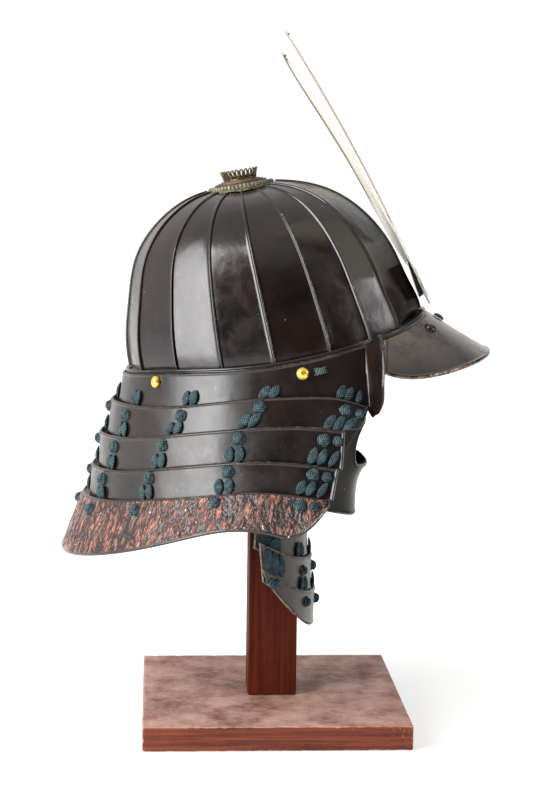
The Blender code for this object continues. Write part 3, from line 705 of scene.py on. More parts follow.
@dataclass(frozen=True)
class Lacquer(Finish):
    """Old brown-black lacquer with redder patches, rubbed edges and specks of dust."""

    dark: Colour = (0.0030, 0.0025, 0.0023)
    warm: Colour = (0.0110, 0.0048, 0.0034)
    worn: Colour = (0.24, 0.245, 0.24)
    worn_red: Colour = (0.016, 0.010, 0.008)
    speck: Colour = (0.16, 0.13, 0.10)
    warm_patch: Pair = (16.0, 0.16)
    worn_patch: Pair = (70.0, 0.1)
    dull_patch: Pair = (55.0, 0.25)
    dull_grain: Pair = (520.0, 0.2)
    smooth: float = 0.15
    dull: float = 0.27

    def surface(self, wire: Wiring, place: Socket) -> Layers:
        """Returns the colour, roughness and height of the lacquer."""
        base = wire.blend(wire.use(effects.mottle, place, *self.warm_patch), self.dark, self.warm)
        rubbed = self.rubbed(wire, place)
        worn = wire.blend(wire.use(effects.mottle, place, *self.worn_patch), self.worn_red, self.worn)
        base = self.speckled(wire, place, wire.blend(rubbed, base, worn), self.speck)
        fine = wire.times(wire.use(effects.mottle, place, *self.dull_grain), 0.2)
        cloud = wire.plus(wire.use(effects.mottle, place, *self.dull_patch), fine)
        rough = wire.span(cloud, 0.0, 1.2, self.smooth, self.dull)
        rough = wire.plus(rough, wire.times(rubbed, 0.2))
        return base, rough, self.scored(wire, place)


@dataclass(frozen=True)
class Iron(Finish):
    """Grey-brown russeted iron with pale rubbed edges, and painted shade that darkens it from one height to
    another.
    """

    slot: Slot = Slot.STEEL
    dark: Colour = (0.014, 0.0115, 0.0095)
    light: Colour = (0.034, 0.029, 0.024)
    worn: Colour = (0.17, 0.155, 0.13)
    painted_shade: Colour = (0.0055, 0.0040, 0.0034)
    painted_shade_heights: Pair = (1.0e4, 2.0e4)
    patchy: float = 0.3
    smooth: float = 0.30
    dull: float = 0.46
    rub_scale: float = 320.0
    specks: Pair = (330.0, 0.03)
    speck_strength: float = 0.4
    skin: Pair = (120.0, 0.3)
    scratches: Pair = (40.0, 0.15)
    scratch_depth: float = 0.3

    def surface(self, wire: Wiring, place: Socket) -> Layers:
        """Returns the colour, roughness and height of the iron."""
        cloud = wire.use(effects.mottle, place, 45.0, self.patchy)
        fine = wire.times(wire.use(effects.mottle, place, 600.0, 0.25), 0.35)
        feeds = {0: cloud, 1: 0.65, 2: fine}
        both = wire.add("Math", feeds, operation="MULTIPLY_ADD", use_clamp=True).outputs[0]
        # Painted shade: the colour darkens towards the painted shade colour from the first height to the
        # second.
        painted_shade_share = wire.span(wire.sides(wire.mark("lay", "Vector"))[2], *self.painted_shade_heights)
        base = wire.blend(painted_shade_share, wire.blend(both, self.dark, self.light), self.painted_shade)
        base = self.speckled(wire, place, wire.blend(self.rubbed(wire, place), base, self.worn), self.worn)
        return base, wire.span(both, 0.0, 1.0, self.smooth, self.dull), self.scored(wire, place)


@dataclass(frozen=True)
class Bark(Finish):
    """Red-brown lacquer laid on thick and cut like cherry bark, black in its furrows, with painted glints."""

    slot: Slot = Slot.BARK
    red: Colour = (0.190, 0.048, 0.029)
    salmon: Colour = (0.470, 0.180, 0.118)
    furrow: Colour = (0.0070, 0.0058, 0.0056)
    grey: Colour = (0.085, 0.074, 0.068)
    painted_glint: Colour = (0.70, 0.68, 0.66)
    red_patch: Pair = (150.0, 0.14)
    grey_patch: Pair = (34.0, 0.12)
    specks: Pair = (380.0, 0.07)
    speck_strength: float = 0.7

    def surface(self, wire: Wiring, place: Socket) -> Layers:
        """Returns the colour, roughness and height of the bark-like face."""
        along, down, _ = wire.sides(wire.mark("lay", "Vector"))
        either = wire.add("CombineXYZ", {0: wire.math("ABSOLUTE", along), 1: down, 2: 0.0}).outputs[0]
        crack = wire.noise(wire.stretch(either, (1.0, 0.13, 1.0), -0.16), 0.60, 5.0, 0.66, 0.35)
        fine = wire.noise(wire.stretch(either, (1.5, 0.30, 1.0), 0.22), 0.95, 5.0, 0.7, 0.3)
        base = wire.blend(wire.use(effects.mottle, place, *self.red_patch), self.red, self.salmon)
        base = wire.blend(wire.use(effects.mottle, place, *self.grey_patch), base, self.grey, 0.34)
        dark = wire.math("ADD", wire.span(crack, 0.48, 0.55), wire.span(fine, 0.53, 0.60), clamp=True)
        dark = wire.math("MAXIMUM", dark, wire.span(wire.mark("wear"), 0.25, 0.6))
        # Painted glints: pale specks stand for the light glinting on the coat.
        base = self.speckled(wire, place, wire.blend(dark, base, self.furrow, 0.97), self.painted_glint)
        height = wire.minus(wire.noise(place, 700.0, 3.0, 0.6), wire.times(dark, 1.6))
        return base, wire.span(dark, 0.0, 1.0, 0.34, 0.20), height


@dataclass(frozen=True)
class PaleGilt(Finish):
    """The crest's pale worn gilding, with painted shade on its outer edges at the back and painted light at
    its foot.

    Its lay mark is how far inward a point is, how far from the nearest edge, and how high.
    """

    slot: Slot = Slot.PALE_GILT
    pale: Colour = (0.64, 0.61, 0.52)
    deep: Colour = (0.58, 0.52, 0.41)
    painted_light: Colour = (0.90, 0.87, 0.78)
    rim: Colour = (0.36, 0.33, 0.26)
    tan: Colour = (0.42, 0.30, 0.21)
    brown: Colour = (0.035, 0.024, 0.018)
    painted_light_heights: Pair = (110.0, 55.0)
    painted_shade_fade_heights: Pair = (95.0, 45.0)
    skin: Pair = (60.0, 0.2)
    scratches: Pair = (30.0, 0.2)
    scratch_depth: float = 0.3

    def surface(self, wire: Wiring, place: Socket) -> Layers:
        """Returns the colour, roughness and height of the gilding."""
        cloud = wire.use(effects.mottle, place, 22.0, 0.3)
        inward, _, height = wire.sides(wire.mark("lay", "Vector"))
        facing = wire.sides(wire.add("NewGeometry").outputs["Normal"])[0]
        # Painted light: the back faces low on the crest are made paler, where the bowl shades them.
        foot = wire.times(wire.span(height, *self.painted_light_heights), wire.span(facing, 0.3, -0.1))
        base = wire.blend(foot, wire.blend(cloud, self.pale, self.deep, 0.5), self.painted_light)
        # Painted shade: tan and then brown along the outer edges of the back faces; front faces and the foot
        # stay clear of it.
        inward = wire.plus(inward, wire.times(cloud, 3.0))
        inward = wire.plus(inward, wire.span(facing, 0.1, 0.5, 0.0, 16.0))
        inward = wire.plus(inward, wire.span(height, *self.painted_shade_fade_heights, 0.0, 30.0))
        base = wire.blend(wire.span(inward, 40.0, 12.0), base, self.tan)
        base = wire.blend(wire.span(inward, 17.0, 10.0), base, self.brown)
        edge = wire.times(wire.span(wire.mark("wear"), 0.5, 1.0), wire.span(inward, 12.0, 6.0))
        rough = wire.span(cloud, 0.0, 1.0, 0.5, 0.62)
        return wire.blend(edge, base, self.rim), rough, self.scored(wire, place)


@dataclass(frozen=True)
class Gilt(Finish):
    """Gilded copper, darkened where it is not rubbed."""

    slot: Slot = Slot.GILT
    bright: Colour = (0.85, 0.52, 0.12)
    dark: Colour = (0.10, 0.055, 0.022)
    tarnish: float = 0.25
    smooth: float = 0.22
    skin: Pair = (300.0, 0.4)

    def surface(self, wire: Wiring, place: Socket) -> Layers:
        """Returns the colour, roughness and height of the gilding."""
        cloud = wire.plus(wire.noise(place, 380.0, 4.0, 0.65), self.tarnish)
        dull = wire.span(wire.minus(cloud, wire.mark("wear")), 0.45, 0.85)
        rough = wire.span(dull, 0.0, 1.0, self.smooth, 0.6)
        return wire.blend(dull, self.bright, self.dark), rough, wire.use(effects.hand_skin, place, *self.skin)


@dataclass(frozen=True)
class Patina(Finish):
    """Old soft metal gone olive-brown, rubbed bright on its high places."""

    slot: Slot = Slot.PATINA
    deep: Colour = (0.035, 0.026, 0.016)
    olive: Colour = (0.15, 0.125, 0.072)
    worn: Colour = (0.44, 0.38, 0.25)
    reach: float = 0.5
    rub_scale: float = 500.0
    skin: Pair = (400.0, 0.5)

    def surface(self, wire: Wiring, place: Socket) -> Layers:
        """Returns the colour, roughness and height of the patina."""
        cloud = wire.use(effects.mottle, place, 150.0, 0.3)
        rubbed = self.rubbed(wire, place)
        base = wire.blend(rubbed, wire.blend(cloud, self.deep, self.olive), self.worn)
        rough = wire.span(wire.minus(cloud, rubbed), -1.0, 1.0, 0.3, 0.6)
        return base, rough, wire.use(effects.hand_skin, place, *self.skin)


@dataclass(frozen=True)
class SilkCord(Finish):
    """Braided silk cord, faded in patches, with painted light on its strands and painted shade between them.
    """

    slot: Slot = Slot.CORD
    deep: Colour = (0.0022, 0.0050, 0.0065)
    strand_painted_light: Colour = (0.019, 0.043, 0.054)
    faded: Colour = (0.14, 0.21, 0.22)
    fade_patch: Pair = (260.0, 0.22)
    strands: float = 0.235

    def surface(self, wire: Wiring, place: Socket) -> Layers:
        """Returns the colour, roughness and height of the braid."""
        lay = wire.mark("lay", "Vector")
        strand, height = (wire.use(effects.braid, lay, self.strands, output=output) for output in (0, 1))
        fade = wire.times(wire.use(effects.mottle, place, *self.fade_patch), strand)
        # Painted light and shade: the tops of the braid's strands take the lighter colour and its grooves the
        # darker one.
        base = wire.blend(fade, wire.blend(strand, self.deep, self.strand_painted_light), self.faded, 0.45)
        return base, wire.span(strand, 0.0, 1.0, 0.95, 0.62), height


@dataclass(frozen=True)
class Timber(Finish):
    """Red-brown stained timber, grain along one side, with pale chips at its edges and dust on top."""

    slot: Slot = Slot.WOOD
    deep: Colour = (0.060, 0.014, 0.008)
    red: Colour = (0.200, 0.047, 0.024)
    chip: Colour = (0.42, 0.22, 0.15)
    dusty: Colour = (0.54, 0.345, 0.275)
    dust: float = 0.0
    grain_turn: tuple[float, float, float] = (0.0, 0.0, 0.0)
    grain_scale: float = 0.045
    coarse: float = 0.0
    reach: float = 0.5
    rub_scale: float = 170.0
    scratches: Pair = (18.0, 0.16)

    def surface(self, wire: Wiring, place: Socket) -> Layers:
        """Returns the colour, roughness and height of the timber."""
        feeds = {"Vector": wire.mark("lay", "Vector"), "Rotation": self.grain_turn}
        along = wire.add("Mapping", feeds).outputs[0]
        grain, rise = (wire.use(effects.wood_grain, along, self.grain_scale, output=each) for each in (0, 1))
        base = wire.blend(grain, self.deep, self.red)
        base = wire.blend(wire.use(effects.mottle, place, 30.0, 0.3), base, self.red, 0.35)
        base = wire.blend(wire.use(effects.dust, place, 38.0, self.dust), base, self.dusty)
        grit = wire.noise(place, 700.0, 4.0, 0.7)
        base = wire.blend(wire.span(grit, 0.58, 0.78, 0.0, 0.35), base, self.chip)
        lines = wire.times(wire.use(effects.scratches, place, *self.scratches), 0.4 * self.coarse)
        base = wire.blend(wire.math("MAXIMUM", self.rubbed(wire, place), lines), base, self.chip)
        height = wire.plus(rise, wire.times(grit, 0.6))
        return base, wire.span(grain, 0.0, 1.0, 0.5, 0.66), height


# ---------------------------------------------------------------- the bowl
# Angle round and height of the bowl's lower edge: the plates' ribs stand at these angles
RIM_TABLE = ((0, -3.0), (36.3, -8.6), (52.4, -10.7), (70, -11.5), (91, -11.0), (110.7, -7.6), (130.4, -3.4),
             (153.5, -1.6), (180, -1.2))
# Angle of rise, then the outline's share of an ellipse's at the back and front, and what the sides lack
RISE_TABLE = ((0, 1.000, 1.000, 0.000), (12, 0.997, 0.977, 0.000), (25, 1.000, 0.993, 0.001),
              (40, 1.044, 1.018, 0.004), (55, 1.055, 1.027, 0.010), (70, 1.040, 1.012, 0.022),
              (90, 1.000, 1.000, 0.026))


class BowlForm:
    """The outer shape of the bowl, which the rim and the top lame follow too; its angles are in degrees."""

    half_length: float = 114.1
    half_width: float = 100.0
    mouth_shift: float = 1.7
    height: float = 119.0
    crown_hole: float = 26.5
    step: float = 0.2

    def __init__(self) -> None:
        """Makes the curves of its tables."""
        self.rim_drop, = curves(RIM_TABLE, True)
        self.back, self.front, self.side_less = curves(RISE_TABLE, True)

    def bulge(self, angle: Array, rise: Array) -> Array:
        """Returns the outline as a share of an ellipse's, at an angle round and an angle of rise."""
        turn = np.radians(angle)
        full = lerp(self.back(rise), self.front(rise), (1 + np.cos(turn)) / 2)
        return full - self.side_less(rise) * np.sin(turn) ** 2

    def crown_rise(self, angle: Array) -> Array:
        """Returns the angle of rise at which the plates end, at the hole in the crown."""
        turn = np.radians(angle)
        reach = np.hypot(self.half_length * np.cos(turn), self.half_width * np.sin(turn))
        low, high = np.full(np.shape(angle), 60.0), np.full(np.shape(angle), 89.0)
        for _ in range(30):
            middle = (low + high) / 2
            outside = self.bulge(angle, middle) * np.cos(np.radians(middle)) * reach > self.crown_hole
            low, high = np.where(outside, middle, low), np.where(outside, high, middle)
        return low

    def point(self, angle: Array, rise: Array) -> Array:
        """Returns points of the bowl's outer face, at angles round and angles of rise."""
        turn, lift = np.radians(angle), np.radians(rise)
        bulge = self.bulge(angle, rise)
        out, up = bulge * np.cos(lift), bulge * np.sin(lift)
        base = self.rim_drop(np.abs((np.asarray(angle, float) + 180.0) % 360.0 - 180.0))
        return xyz(self.mouth_shift * (1 - up) + self.half_length * out * np.cos(turn),
                   -self.half_width * out * np.sin(turn), base + (self.height - base) * up)

    def normal(self, angle: Array, rise: Array) -> Array:
        """Returns the outward direction of the bowl's face."""
        along = self.point(angle + self.step, rise) - self.point(angle - self.step, rise)
        upward = self.point(angle, rise + self.step) - self.point(angle, rise - self.step)
        return unit(np.cross(upward, along))

    def rim_point(self, angle: Array, outset: Array, height: Array) -> Array:
        """Returns points beside the bowl's lower edge.

        Args:
            angle: the angle round.
            outset: how far out from its face.
            height: how far above its edge.

        Returns:
            The points.
        """
        angle, outset, height = np.broadcast_arrays(np.asarray(angle, float), outset, height)
        foot = self.point(angle, 0.0)
        along = self.point(angle + self.step, 0.0) - self.point(angle - self.step, 0.0)
        outward = unit(xyz(along[..., 1], -along[..., 0], 0.0))
        outward *= np.sign(np.sum(outward * foot, axis=-1, keepdims=True))
        return foot + outward * outset[..., None] + xyz(0.0, 0.0, height)


bowl_form = BowlForm()


@dataclass
class Bowl:
    """The ribbed bowl: sixteen plates, each with a raised rib, standing on a rolled rim."""

    thickness: float = 1.6
    gap: float = 0.4
    rib_width: float = 2.2
    rib_height: float = 2.1
    rib_height_top: float = 1.1
    flatness: float = 0.84
    dent: float = 0.16
    rim_dent: float = 0.12
    edge_wear: float = 0.35
    rows: int = 72
    spans: int = 16
    rim_steps: int = 300
    rib_wear_and_sheen: tuple = (0.6, 0.7, 0.9, 1.0, 0.85, 0.65, 0.6, 0.55) + 8 * (0.5,)
    rib_outline: tuple = ((0.0, 0.55), (0.06, 0.82), (0.20, 0.97), (0.38, 1.0), (0.55, 0.96), (0.72, 0.80),
                          (0.84, 0.50), (0.94, 0.18), (1.10, 0.03))
    rim_outline: tuple = ((-1.6, -0.3), (2.5, -0.3), (3.1, 0.05), (3.7, 0.25), (4.3, 0.1), (4.7, -0.45),
                          (4.75, -0.95), (4.45, -1.4), (4.0, -1.6), (4.2, -1.85), (4.4, -2.2), (4.2, -2.6),
                          (4.0, -2.9), (4.0, -11.0), (2.4, -11.0), (2.4, -2.3), (-1.6, -2.3))

    def build_plates(self, finish: Finish) -> None:
        """Builds the sixteen plates."""
        half = [angle for angle, _ in RIM_TABLE]
        ribs = half + [360 - angle for angle in half[-2:0:-1]] + [360]
        for number, (start, end) in enumerate(zip(ribs, ribs[1:])):
            name = f"{number + 1:02d}"
            self.plate(start, end, number).build(f"ribbed_plate_{name}", HELMET, finish, f"bowl_plate_{name}")

    def plate(self, start: float, end: float, number: int) -> Shell:
        """Returns the plate between two ribs.

        Args:
            start: the angle of its own rib.
            end: the angle of the next plate's rib.
            number: which plate it is.

        Returns:
            The plate.
        """
        share = np.linspace(0, 1, self.rows + 1)[:, None]
        rise = share[:, 0] * bowl_form.crown_rise(np.array((start + end) / 2))
        per_degree = np.linalg.norm(bowl_form.point(start + 0.5, rise) - bowl_form.point(start - 0.5, rise),
                                    axis=-1)[:, None]
        rib_turn = self.rib_width / per_degree
        left, foot = start - rib_turn / 2, start + rib_turn / 2
        right = end - rib_turn / 2 - self.gap / per_degree
        spans = np.linspace(0, 1, self.spans + 1)[1:]
        rib_places, rib_heights = np.array(self.rib_outline).T
        back = np.hstack((right, foot + spans[::-1][2::3] * (right - foot), left))
        angles = np.hstack((left + rib_places * rib_turn, foot + spans * (right - foot), back))
        heights = np.hstack((rib_heights * lerp(self.rib_height, self.rib_height_top, share),
                             np.zeros((len(share), self.spans)), np.full(back.shape, -self.thickness)))
        levels = share * bowl_form.crown_rise(angles)
        points = bowl_form.point(angles, levels)
        across = np.clip((angles - foot) / (right - foot), 0, 1)
        foot_point, right_point = (bowl_form.point(side, share * bowl_form.crown_rise(side))
                                   for side in (foot, right))
        chord = foot_point + (right_point - foot_point) * across[..., None]
        flat = self.flatness * np.clip(across * 12, 0, 1) * np.clip((1 - across) * 12, 0, 1)
        points = points + (chord - points) * flat[..., None]
        body = np.clip(across * 6, 0, 1) * np.clip((1 - across) * 6, 0, 1)
        heights = heights + self.dent * ripple(points, 38.0, 40 + number) * body
        points = points + bowl_form.normal(angles, levels) * heights[..., None]
        wear = np.zeros(angles.shape)
        # The crest line of each rib is marked worn; its pale worn colour is partly real wear and partly a
        # painted highlight along the rib.
        wear[:, :len(rib_heights)] = rib_heights ** 9 * self.rib_wear_and_sheen[number] * (1 - 0.35 * share)
        wear[:, len(rib_heights) + self.spans - 1] = self.edge_wear
        return Shell().add_rings(points, wear)

    def build_rim(self, finish: Finish) -> None:
        """Builds the rim, with its rolled lip."""
        out, up = np.array(self.rim_outline).T
        points = bowl_form.rim_point(np.linspace(0, 360, self.rim_steps, endpoint=False)[:, None], out, up)
        points[..., 2] += self.rim_dent * ripple(points, 60.0, 5)
        wear = np.where((out > 3.0) & (up > -1.5), 0.75, 0.1)
        Shell().add_rings(points, wear, closed=True).build("rolled_rim", HELMET, finish, "bowl_rim")


# ---------------------------------------------------------------- peak and crest
@dataclass
class Peak:
    """The rounded peak over the brow with a rolled edge, and its domed rivets."""

    thickness: float = 1.8
    inner_angle: float = 48.0
    centre_x: float = 76.0
    reach: float = 87.5
    half_width: float = 105.0
    inner_outset: float = 6.3
    inner_drop: float = 3.4
    edge_height: float = -45.3
    corner_lift: float = 12.0
    corner_power: int = 8
    crown: float = -0.8
    dent: float = 0.2
    roll: float = 0.75
    worn_width: float = 2.4
    rivet_angles: tuple = (-21.0, 0.0, 21.0)
    rivet_place: float = 0.17
    rivet_radius: float = 4.6
    rivet_height: float = 3.0

    def point(self, side: Array, place: Array) -> Array:
        """Returns points of the peak: side runs -1 to 1 from left to right, place 0 to 1 outwards."""
        side, place = np.broadcast_arrays(np.asarray(side, float), np.asarray(place, float))
        inner = bowl_form.rim_point(self.inner_angle * side, self.inner_outset, -self.inner_drop)
        turn = side * pi / 2
        lift = self.edge_height + self.corner_lift * np.abs(side) ** self.corner_power
        outer = xyz(self.centre_x + self.reach * np.cos(turn), -self.half_width * np.sin(turn), lift)
        return inner + (outer - inner) * place[..., None] + xyz(0.0, 0.0, self.crown * np.sin(pi * place))

    def build(self, finish: Finish, rivet_finish: Finish) -> None:
        """Builds the peak and its rivets."""
        place = spread(60.0, 24)[:, None]
        grid = self.point(2 * spread(280.0, 110) - 1, place)
        grid[..., 2] += self.dent * ripple(grid, 45.0, 61) * np.sin(pi * place)
        edge = np.minimum.reduce(edge_distances(grid)[1:])
        wear = np.clip(1.05 - edge / self.worn_width, 0, 1)
        Shell().add_plate(grid, self.thickness, self.roll * bump(edge, 1.0, 0.8), wear).build(
            "brow_peak", HELMET, finish, "peak")
        for number, angle in enumerate(self.rivet_angles):
            spot = spot_on(self.point, angle / self.inner_angle, self.rivet_place, 0.02)
            dome = turned(dome_profile(self.rivet_radius, self.rivet_height), 40)
            Shell().add_rings(spot.put(dome), 0.0, dome).build(
                f"peak_dome_{number + 1}", HELMET, rivet_finish, f"peak_rivet_{number + 1}")


@dataclass
class Crest:
    """The two-horned crest, one thin gilded sheet, and the bracket that it slips onto."""

    foot: tuple = (125.4, -0.2)
    lean_low: float = radians(15.4)
    lean_high: float = radians(20.9)
    length: float = 229.0
    thickness: float = 1.2
    sweep: float = 0.0437
    sweep_start: float = 10.0
    forward: float = 6.4
    forward_start: float = 15.0
    forward_length: float = 200.0
    columns: int = 130
    worn_width: float = 0.2
    corners: tuple = (1, 2)
    outer: tuple = ((0, 0), (8, 0), (8, 22), (40, 33), (70, 48), (86, 66), (95, 88), (106, 114), (123, 140),
                    (144, 170), (158, 196), (158, 214), (141, 229))
    inner: tuple = ((0, 60), (13, 67), (23, 77), (31, 90), (38, 105), (49, 126), (66, 150), (88, 177),
                    (112, 201), (131, 217), (139.5, 226))
    holder_bottom: float = 9.0
    holder_top: float = 37.0
    holder_thick: float = 3.8
    holder_thin: float = 1.0
    holder_foot: float = 3.6
    holder_drop: float = 2.2
    holder_gap: float = 0.3
    holder_levels: tuple = ((-10.0, 0.92), (-9.7, 1.0), (0.0, 1.0), (9.7, 1.0), (10.0, 0.92))

    def point(self, half: Array, length: Array, depth: Array = 0.0) -> Array:
        """Returns points of the crest.

        Args:
            half: how far from its middle line.
            length: how far up the sheet.
            depth: how far behind its front face.

        Returns:
            The points.
        """
        bend = (self.lean_high - self.lean_low) / self.length
        lean = self.lean_low + bend * length
        back = (cos(self.lean_low) - np.cos(lean)) / bend
        up = (np.sin(lean) - sin(self.lean_low)) / bend
        rolled = np.clip((length - self.forward_start) / self.forward_length, 0, 1)
        swept = self.sweep * np.maximum(np.abs(half) - self.sweep_start, 0)
        forward = self.foot[0] - back + self.forward * np.sin(pi / 2 * rolled) - swept
        return xyz(forward - depth * np.cos(lean), -half, self.foot[1] + up - depth * np.sin(lean))

    def outline(self, knots: Rows, corners: Sequence[int] = ()) -> Array:
        """Returns an edge from one horn's tip to the other's, evenly spread and crisp at its corners.

        Args:
            knots: distance from the middle line and length up the sheet at each of one half's knots.
            corners: the numbers of the knots where the line turns sharply.

        Returns:
            The edge's points, in the same measures.
        """
        cuts = [0, *corners, len(knots) - 1]
        pieces = []
        for low, high in zip(cuts, cuts[1:]):
            part = np.array(knots[low:high + 1], float)
            places = run_length(part)
            fine = np.linspace(0, places[-1], 60)
            pieces.append(np.stack([Curve(places, values)(fine) for values in part.T], axis=1))
        line = np.concatenate(pieces)
        run = run_length(line)
        even = np.linspace(0, run[-1], self.columns)
        line = np.stack([np.interp(even, run, values) for values in line.T], axis=1)
        return np.concatenate((line[:0:-1] * (-1, 1), line))

    def build(self, finish: Finish) -> None:
        """Builds the crest, from the tip of one horn down through the tongue to the other's."""
        outer, inner = self.outline(self.outer, self.corners), self.outline(self.inner)
        line = inner + (outer - inner) * spread(50.0, 14)[:, None, None]
        grid = self.point(line[..., 0], line[..., 1])
        edge = np.minimum.reduce(edge_distances(grid))
        lay = xyz(np.linalg.norm(grid - grid[-1:], axis=-1), edge, grid[..., 2])
        Shell().add_plate(grid, self.thickness, 0.0, np.clip(1 - edge / self.worn_width, 0, 1), lay).build(
            "horned_crest", HELMET, finish, "crest")

    def build_holder(self, finish: Finish) -> None:
        """Builds the bracket on the bowl's front."""
        clear = self.thickness + self.holder_gap
        foot_in = float(bowl_form.point(0.0, 3.0)[0]) + 2.3
        low = self.point(0, self.holder_bottom, clear)
        foot = low[2] - self.holder_drop
        outline = np.array([
            self.point(0, self.holder_top, clear), low,
            (foot_in, 0, foot), (foot_in, 0, foot + self.holder_foot),
            self.point(0, self.holder_bottom + self.holder_foot, clear + self.holder_thick),
            self.point(0, self.holder_top, clear + self.holder_thin)])
        ring = np.stack([outline * 0.9 + np.roll(outline, way, axis=0) * 0.1 for way in (1, -1)], axis=1)
        ring = ring.reshape(-1, 3)
        centre = ring.mean(axis=0)
        across, narrow = np.array(self.holder_levels).T[..., None]
        x = centre[0] + (ring[:, 0] - centre[0]) * narrow
        Shell().add_rings(xyz(x, across, ring[:, 2]), 0.5).build(
            "crest_bracket", HELMET, finish, "crest_holder", sharp=25.0)


# ---------------------------------------------------------------- crown ornament
@dataclass
class CrownOrnament:
    """The ornament over the hole in the crown: beaded ring, stacked collar and a crown of petals."""

    ring: tuple = ((26.2, -3.4), (26.2, -2.0), (25.2, -1.3), (25.3, -0.4), (25.4, 0.4), (25.0, 1.1),
                   (24.2, 1.5), (23.3, 1.5), (22.6, 1.1), (22.0, 1.25), (21.4, 1.7), (20.4, 1.9), (19.0, 2.0),
                   (9.0, 2.0), (9.0, -1.0), (20.0, -3.4))
    beads: int = 52
    bead_depth: float = 0.4
    collar: tuple = ((19.9, 2.1), (20.1, 2.5), (19.9, 2.9), (18.2, 3.05), (17.6, 3.0), (17.5, 3.5),
                     (17.2, 3.75), (15.2, 3.8), (15.0, 4.2), (14.6, 4.45), (12.0, 4.45), (9.0, 4.4),
                     (9.0, 2.3), (15.0, 2.1))
    crown_low: float = 12.4
    crown_high: float = 14.6
    crown_foot: float = 4.4
    crown_top: float = 12.6
    band: tuple = ((0.35, 4.4), (0.55, 4.8), (0.35, 5.2), (0.3, 5.5), (0.5, 5.8), (0.3, 6.0), (-0.7, 6.0),
                   (-0.8, 4.4))
    petal_foot: float = 5.7
    small_petal_top: float = 8.6
    petals: int = 24
    wire: float = 0.48
    sides: int = 312

    def build(self, ring_finish: Finish, collar_finish: Finish, crown_finish: Finish) -> None:
        """Builds its three parts."""
        turns = full_turn(self.sides)[:, None]
        radius, height = np.array(self.ring).T
        edge = np.where((radius > 22.4) & (height > -1.5), 1.0, 0.0)
        bead = np.abs(np.cos(turns * self.beads / 2))
        notch = edge * self.bead_depth * (bead ** 0.5 - 0.6)
        self.ring_shell(turns, radius + notch, height + notch * 0.7, edge * bead).build(
            "beaded_ring", CROWN, ring_finish, "ornament_ring")
        radius, height = np.array(self.collar).T
        rim = np.where(radius > 14.0, 1.0, 0.0)
        uneven = rim * (0.12 * np.sin(turns * 5 + 1) + 0.08 * np.sin(turns * 11))
        self.ring_shell(turns, radius + uneven, height + 0.5 * uneven, 0.6 * rim).build(
            "stacked_collar", CROWN, collar_finish, "ornament_collar")
        self.build_crown(crown_finish)

    @staticmethod
    def ring_shell(turns: Array, radius: Array, height: Array, wear: Array) -> Shell:
        """Returns a closed ring through cross-sections at the turns, with their radii and heights."""
        rings = xyz(radius * np.cos(turns), radius * np.sin(turns), height)
        return Shell().add_rings(rings, wear, closed=True)

    def wall(self, turn: Array, height: Array) -> Array:
        """Returns points of the crown's flaring wall."""
        share = np.clip((height - self.crown_foot) / (self.crown_top - self.crown_foot), 0, 1)
        radius = self.crown_low + (self.crown_high - self.crown_low) * share ** 1.6
        return xyz(radius * np.cos(turn), radius * np.sin(turn), height)

    def build_crown(self, finish: Finish) -> None:
        """Builds the crown: a band, and a looped petal of wire over each of its steps."""
        out, up = np.array(self.band).T
        base = self.wall(full_turn(144)[:, None], up)
        shell = Shell().add_rings(base + unit(base * (1, 1, 0)) * out[:, None], 0.5, closed=True)
        step = 2 * pi / self.petals
        for petal in range(self.petals):
            self.add_loop(shell, (petal + 0.5) * step, 0.43 * step, self.crown_top - self.wire)
            self.add_loop(shell, petal * step, 0.16 * step, self.small_petal_top)
        shell.build("petal_crown", CROWN, finish, "ornament_crown")

    def add_loop(self, shell: Shell, turn: float, half_turn: float, top: float) -> None:
        """Adds one petal: an upright closed loop of wire that lies in the wall.

        Args:
            shell: the mesh it goes into.
            turn: where it stands round the crown.
            half_turn: how far it reaches to each side.
            top: the height of its top.
        """
        around = full_turn(20)
        narrow = 0.72 + 0.28 * np.clip(np.sin(around), -1, 1)
        height = (self.petal_foot + top) / 2 + (top - self.petal_foot) / 2 * np.sin(around)
        path = self.wall(turn + half_turn * np.cos(around) * narrow, height)
        outward = unit(path * (1, 1, 0))
        side = unit(np.cross(unit(np.roll(path, -1, axis=0) - np.roll(path, 1, axis=0)), outward))
        bend = full_turn(6)[:, None]
        section = np.cos(bend) * side[:, None] + 1.15 * np.sin(bend) * outward[:, None]
        wear = 0.4 + 0.5 * np.sin(around).clip(0)[:, None]
        shell.add_rings(path[:, None] + self.wire * section, wear, closed=True)


# ---------------------------------------------------------------- neck guard
# For each lame's top and bottom edge: how far back it reaches, half its width, and how far forward it ends
LAMES = (
    ((118.8, 106.5, 64), (129.5, 112.0, 59)),
    ((133.0, 116.0, 60), (143.5, 123.0, 52)),
    ((147.2, 127.0, 39), (155.0, 132.0, 32)),
    ((158.7, 137.0, 29), (166.5, 142.0, 21)),
    ((170.3, 147.0, 18), (195.7, 164.0, 16)),
)
# Place along, then the heights of the top edges of lames two to five
LAME_TOPS = (
    (0.000, -56.3, -68.0, -92.0, -110.3), (0.035, -46.0, -61.0, -84.5, -103.0),
    (0.085, -38.5, -54.7, -76.5, -95.0), (0.150, -32.7, -50.3, -71.6, -91.6),
    (0.220, -30.0, -48.0, -69.7, -90.0), (0.320, -27.3, -47.4, -69.8, -89.4),
    (0.410, -23.5, -45.6, -69.0, -88.7), (0.500, -22.5, -45.5, -69.0, -89.0),
)
HEM = ((0.000, -111.0), (0.014, -119.0), (0.033, -126.2), (0.047, -127.2), (0.064, -123.0), (0.090, -117.2),
       (0.120, -114.6), (0.160, -115.8), (0.220, -119.8), (0.300, -123.8), (0.400, -126.6), (0.500, -127.7))
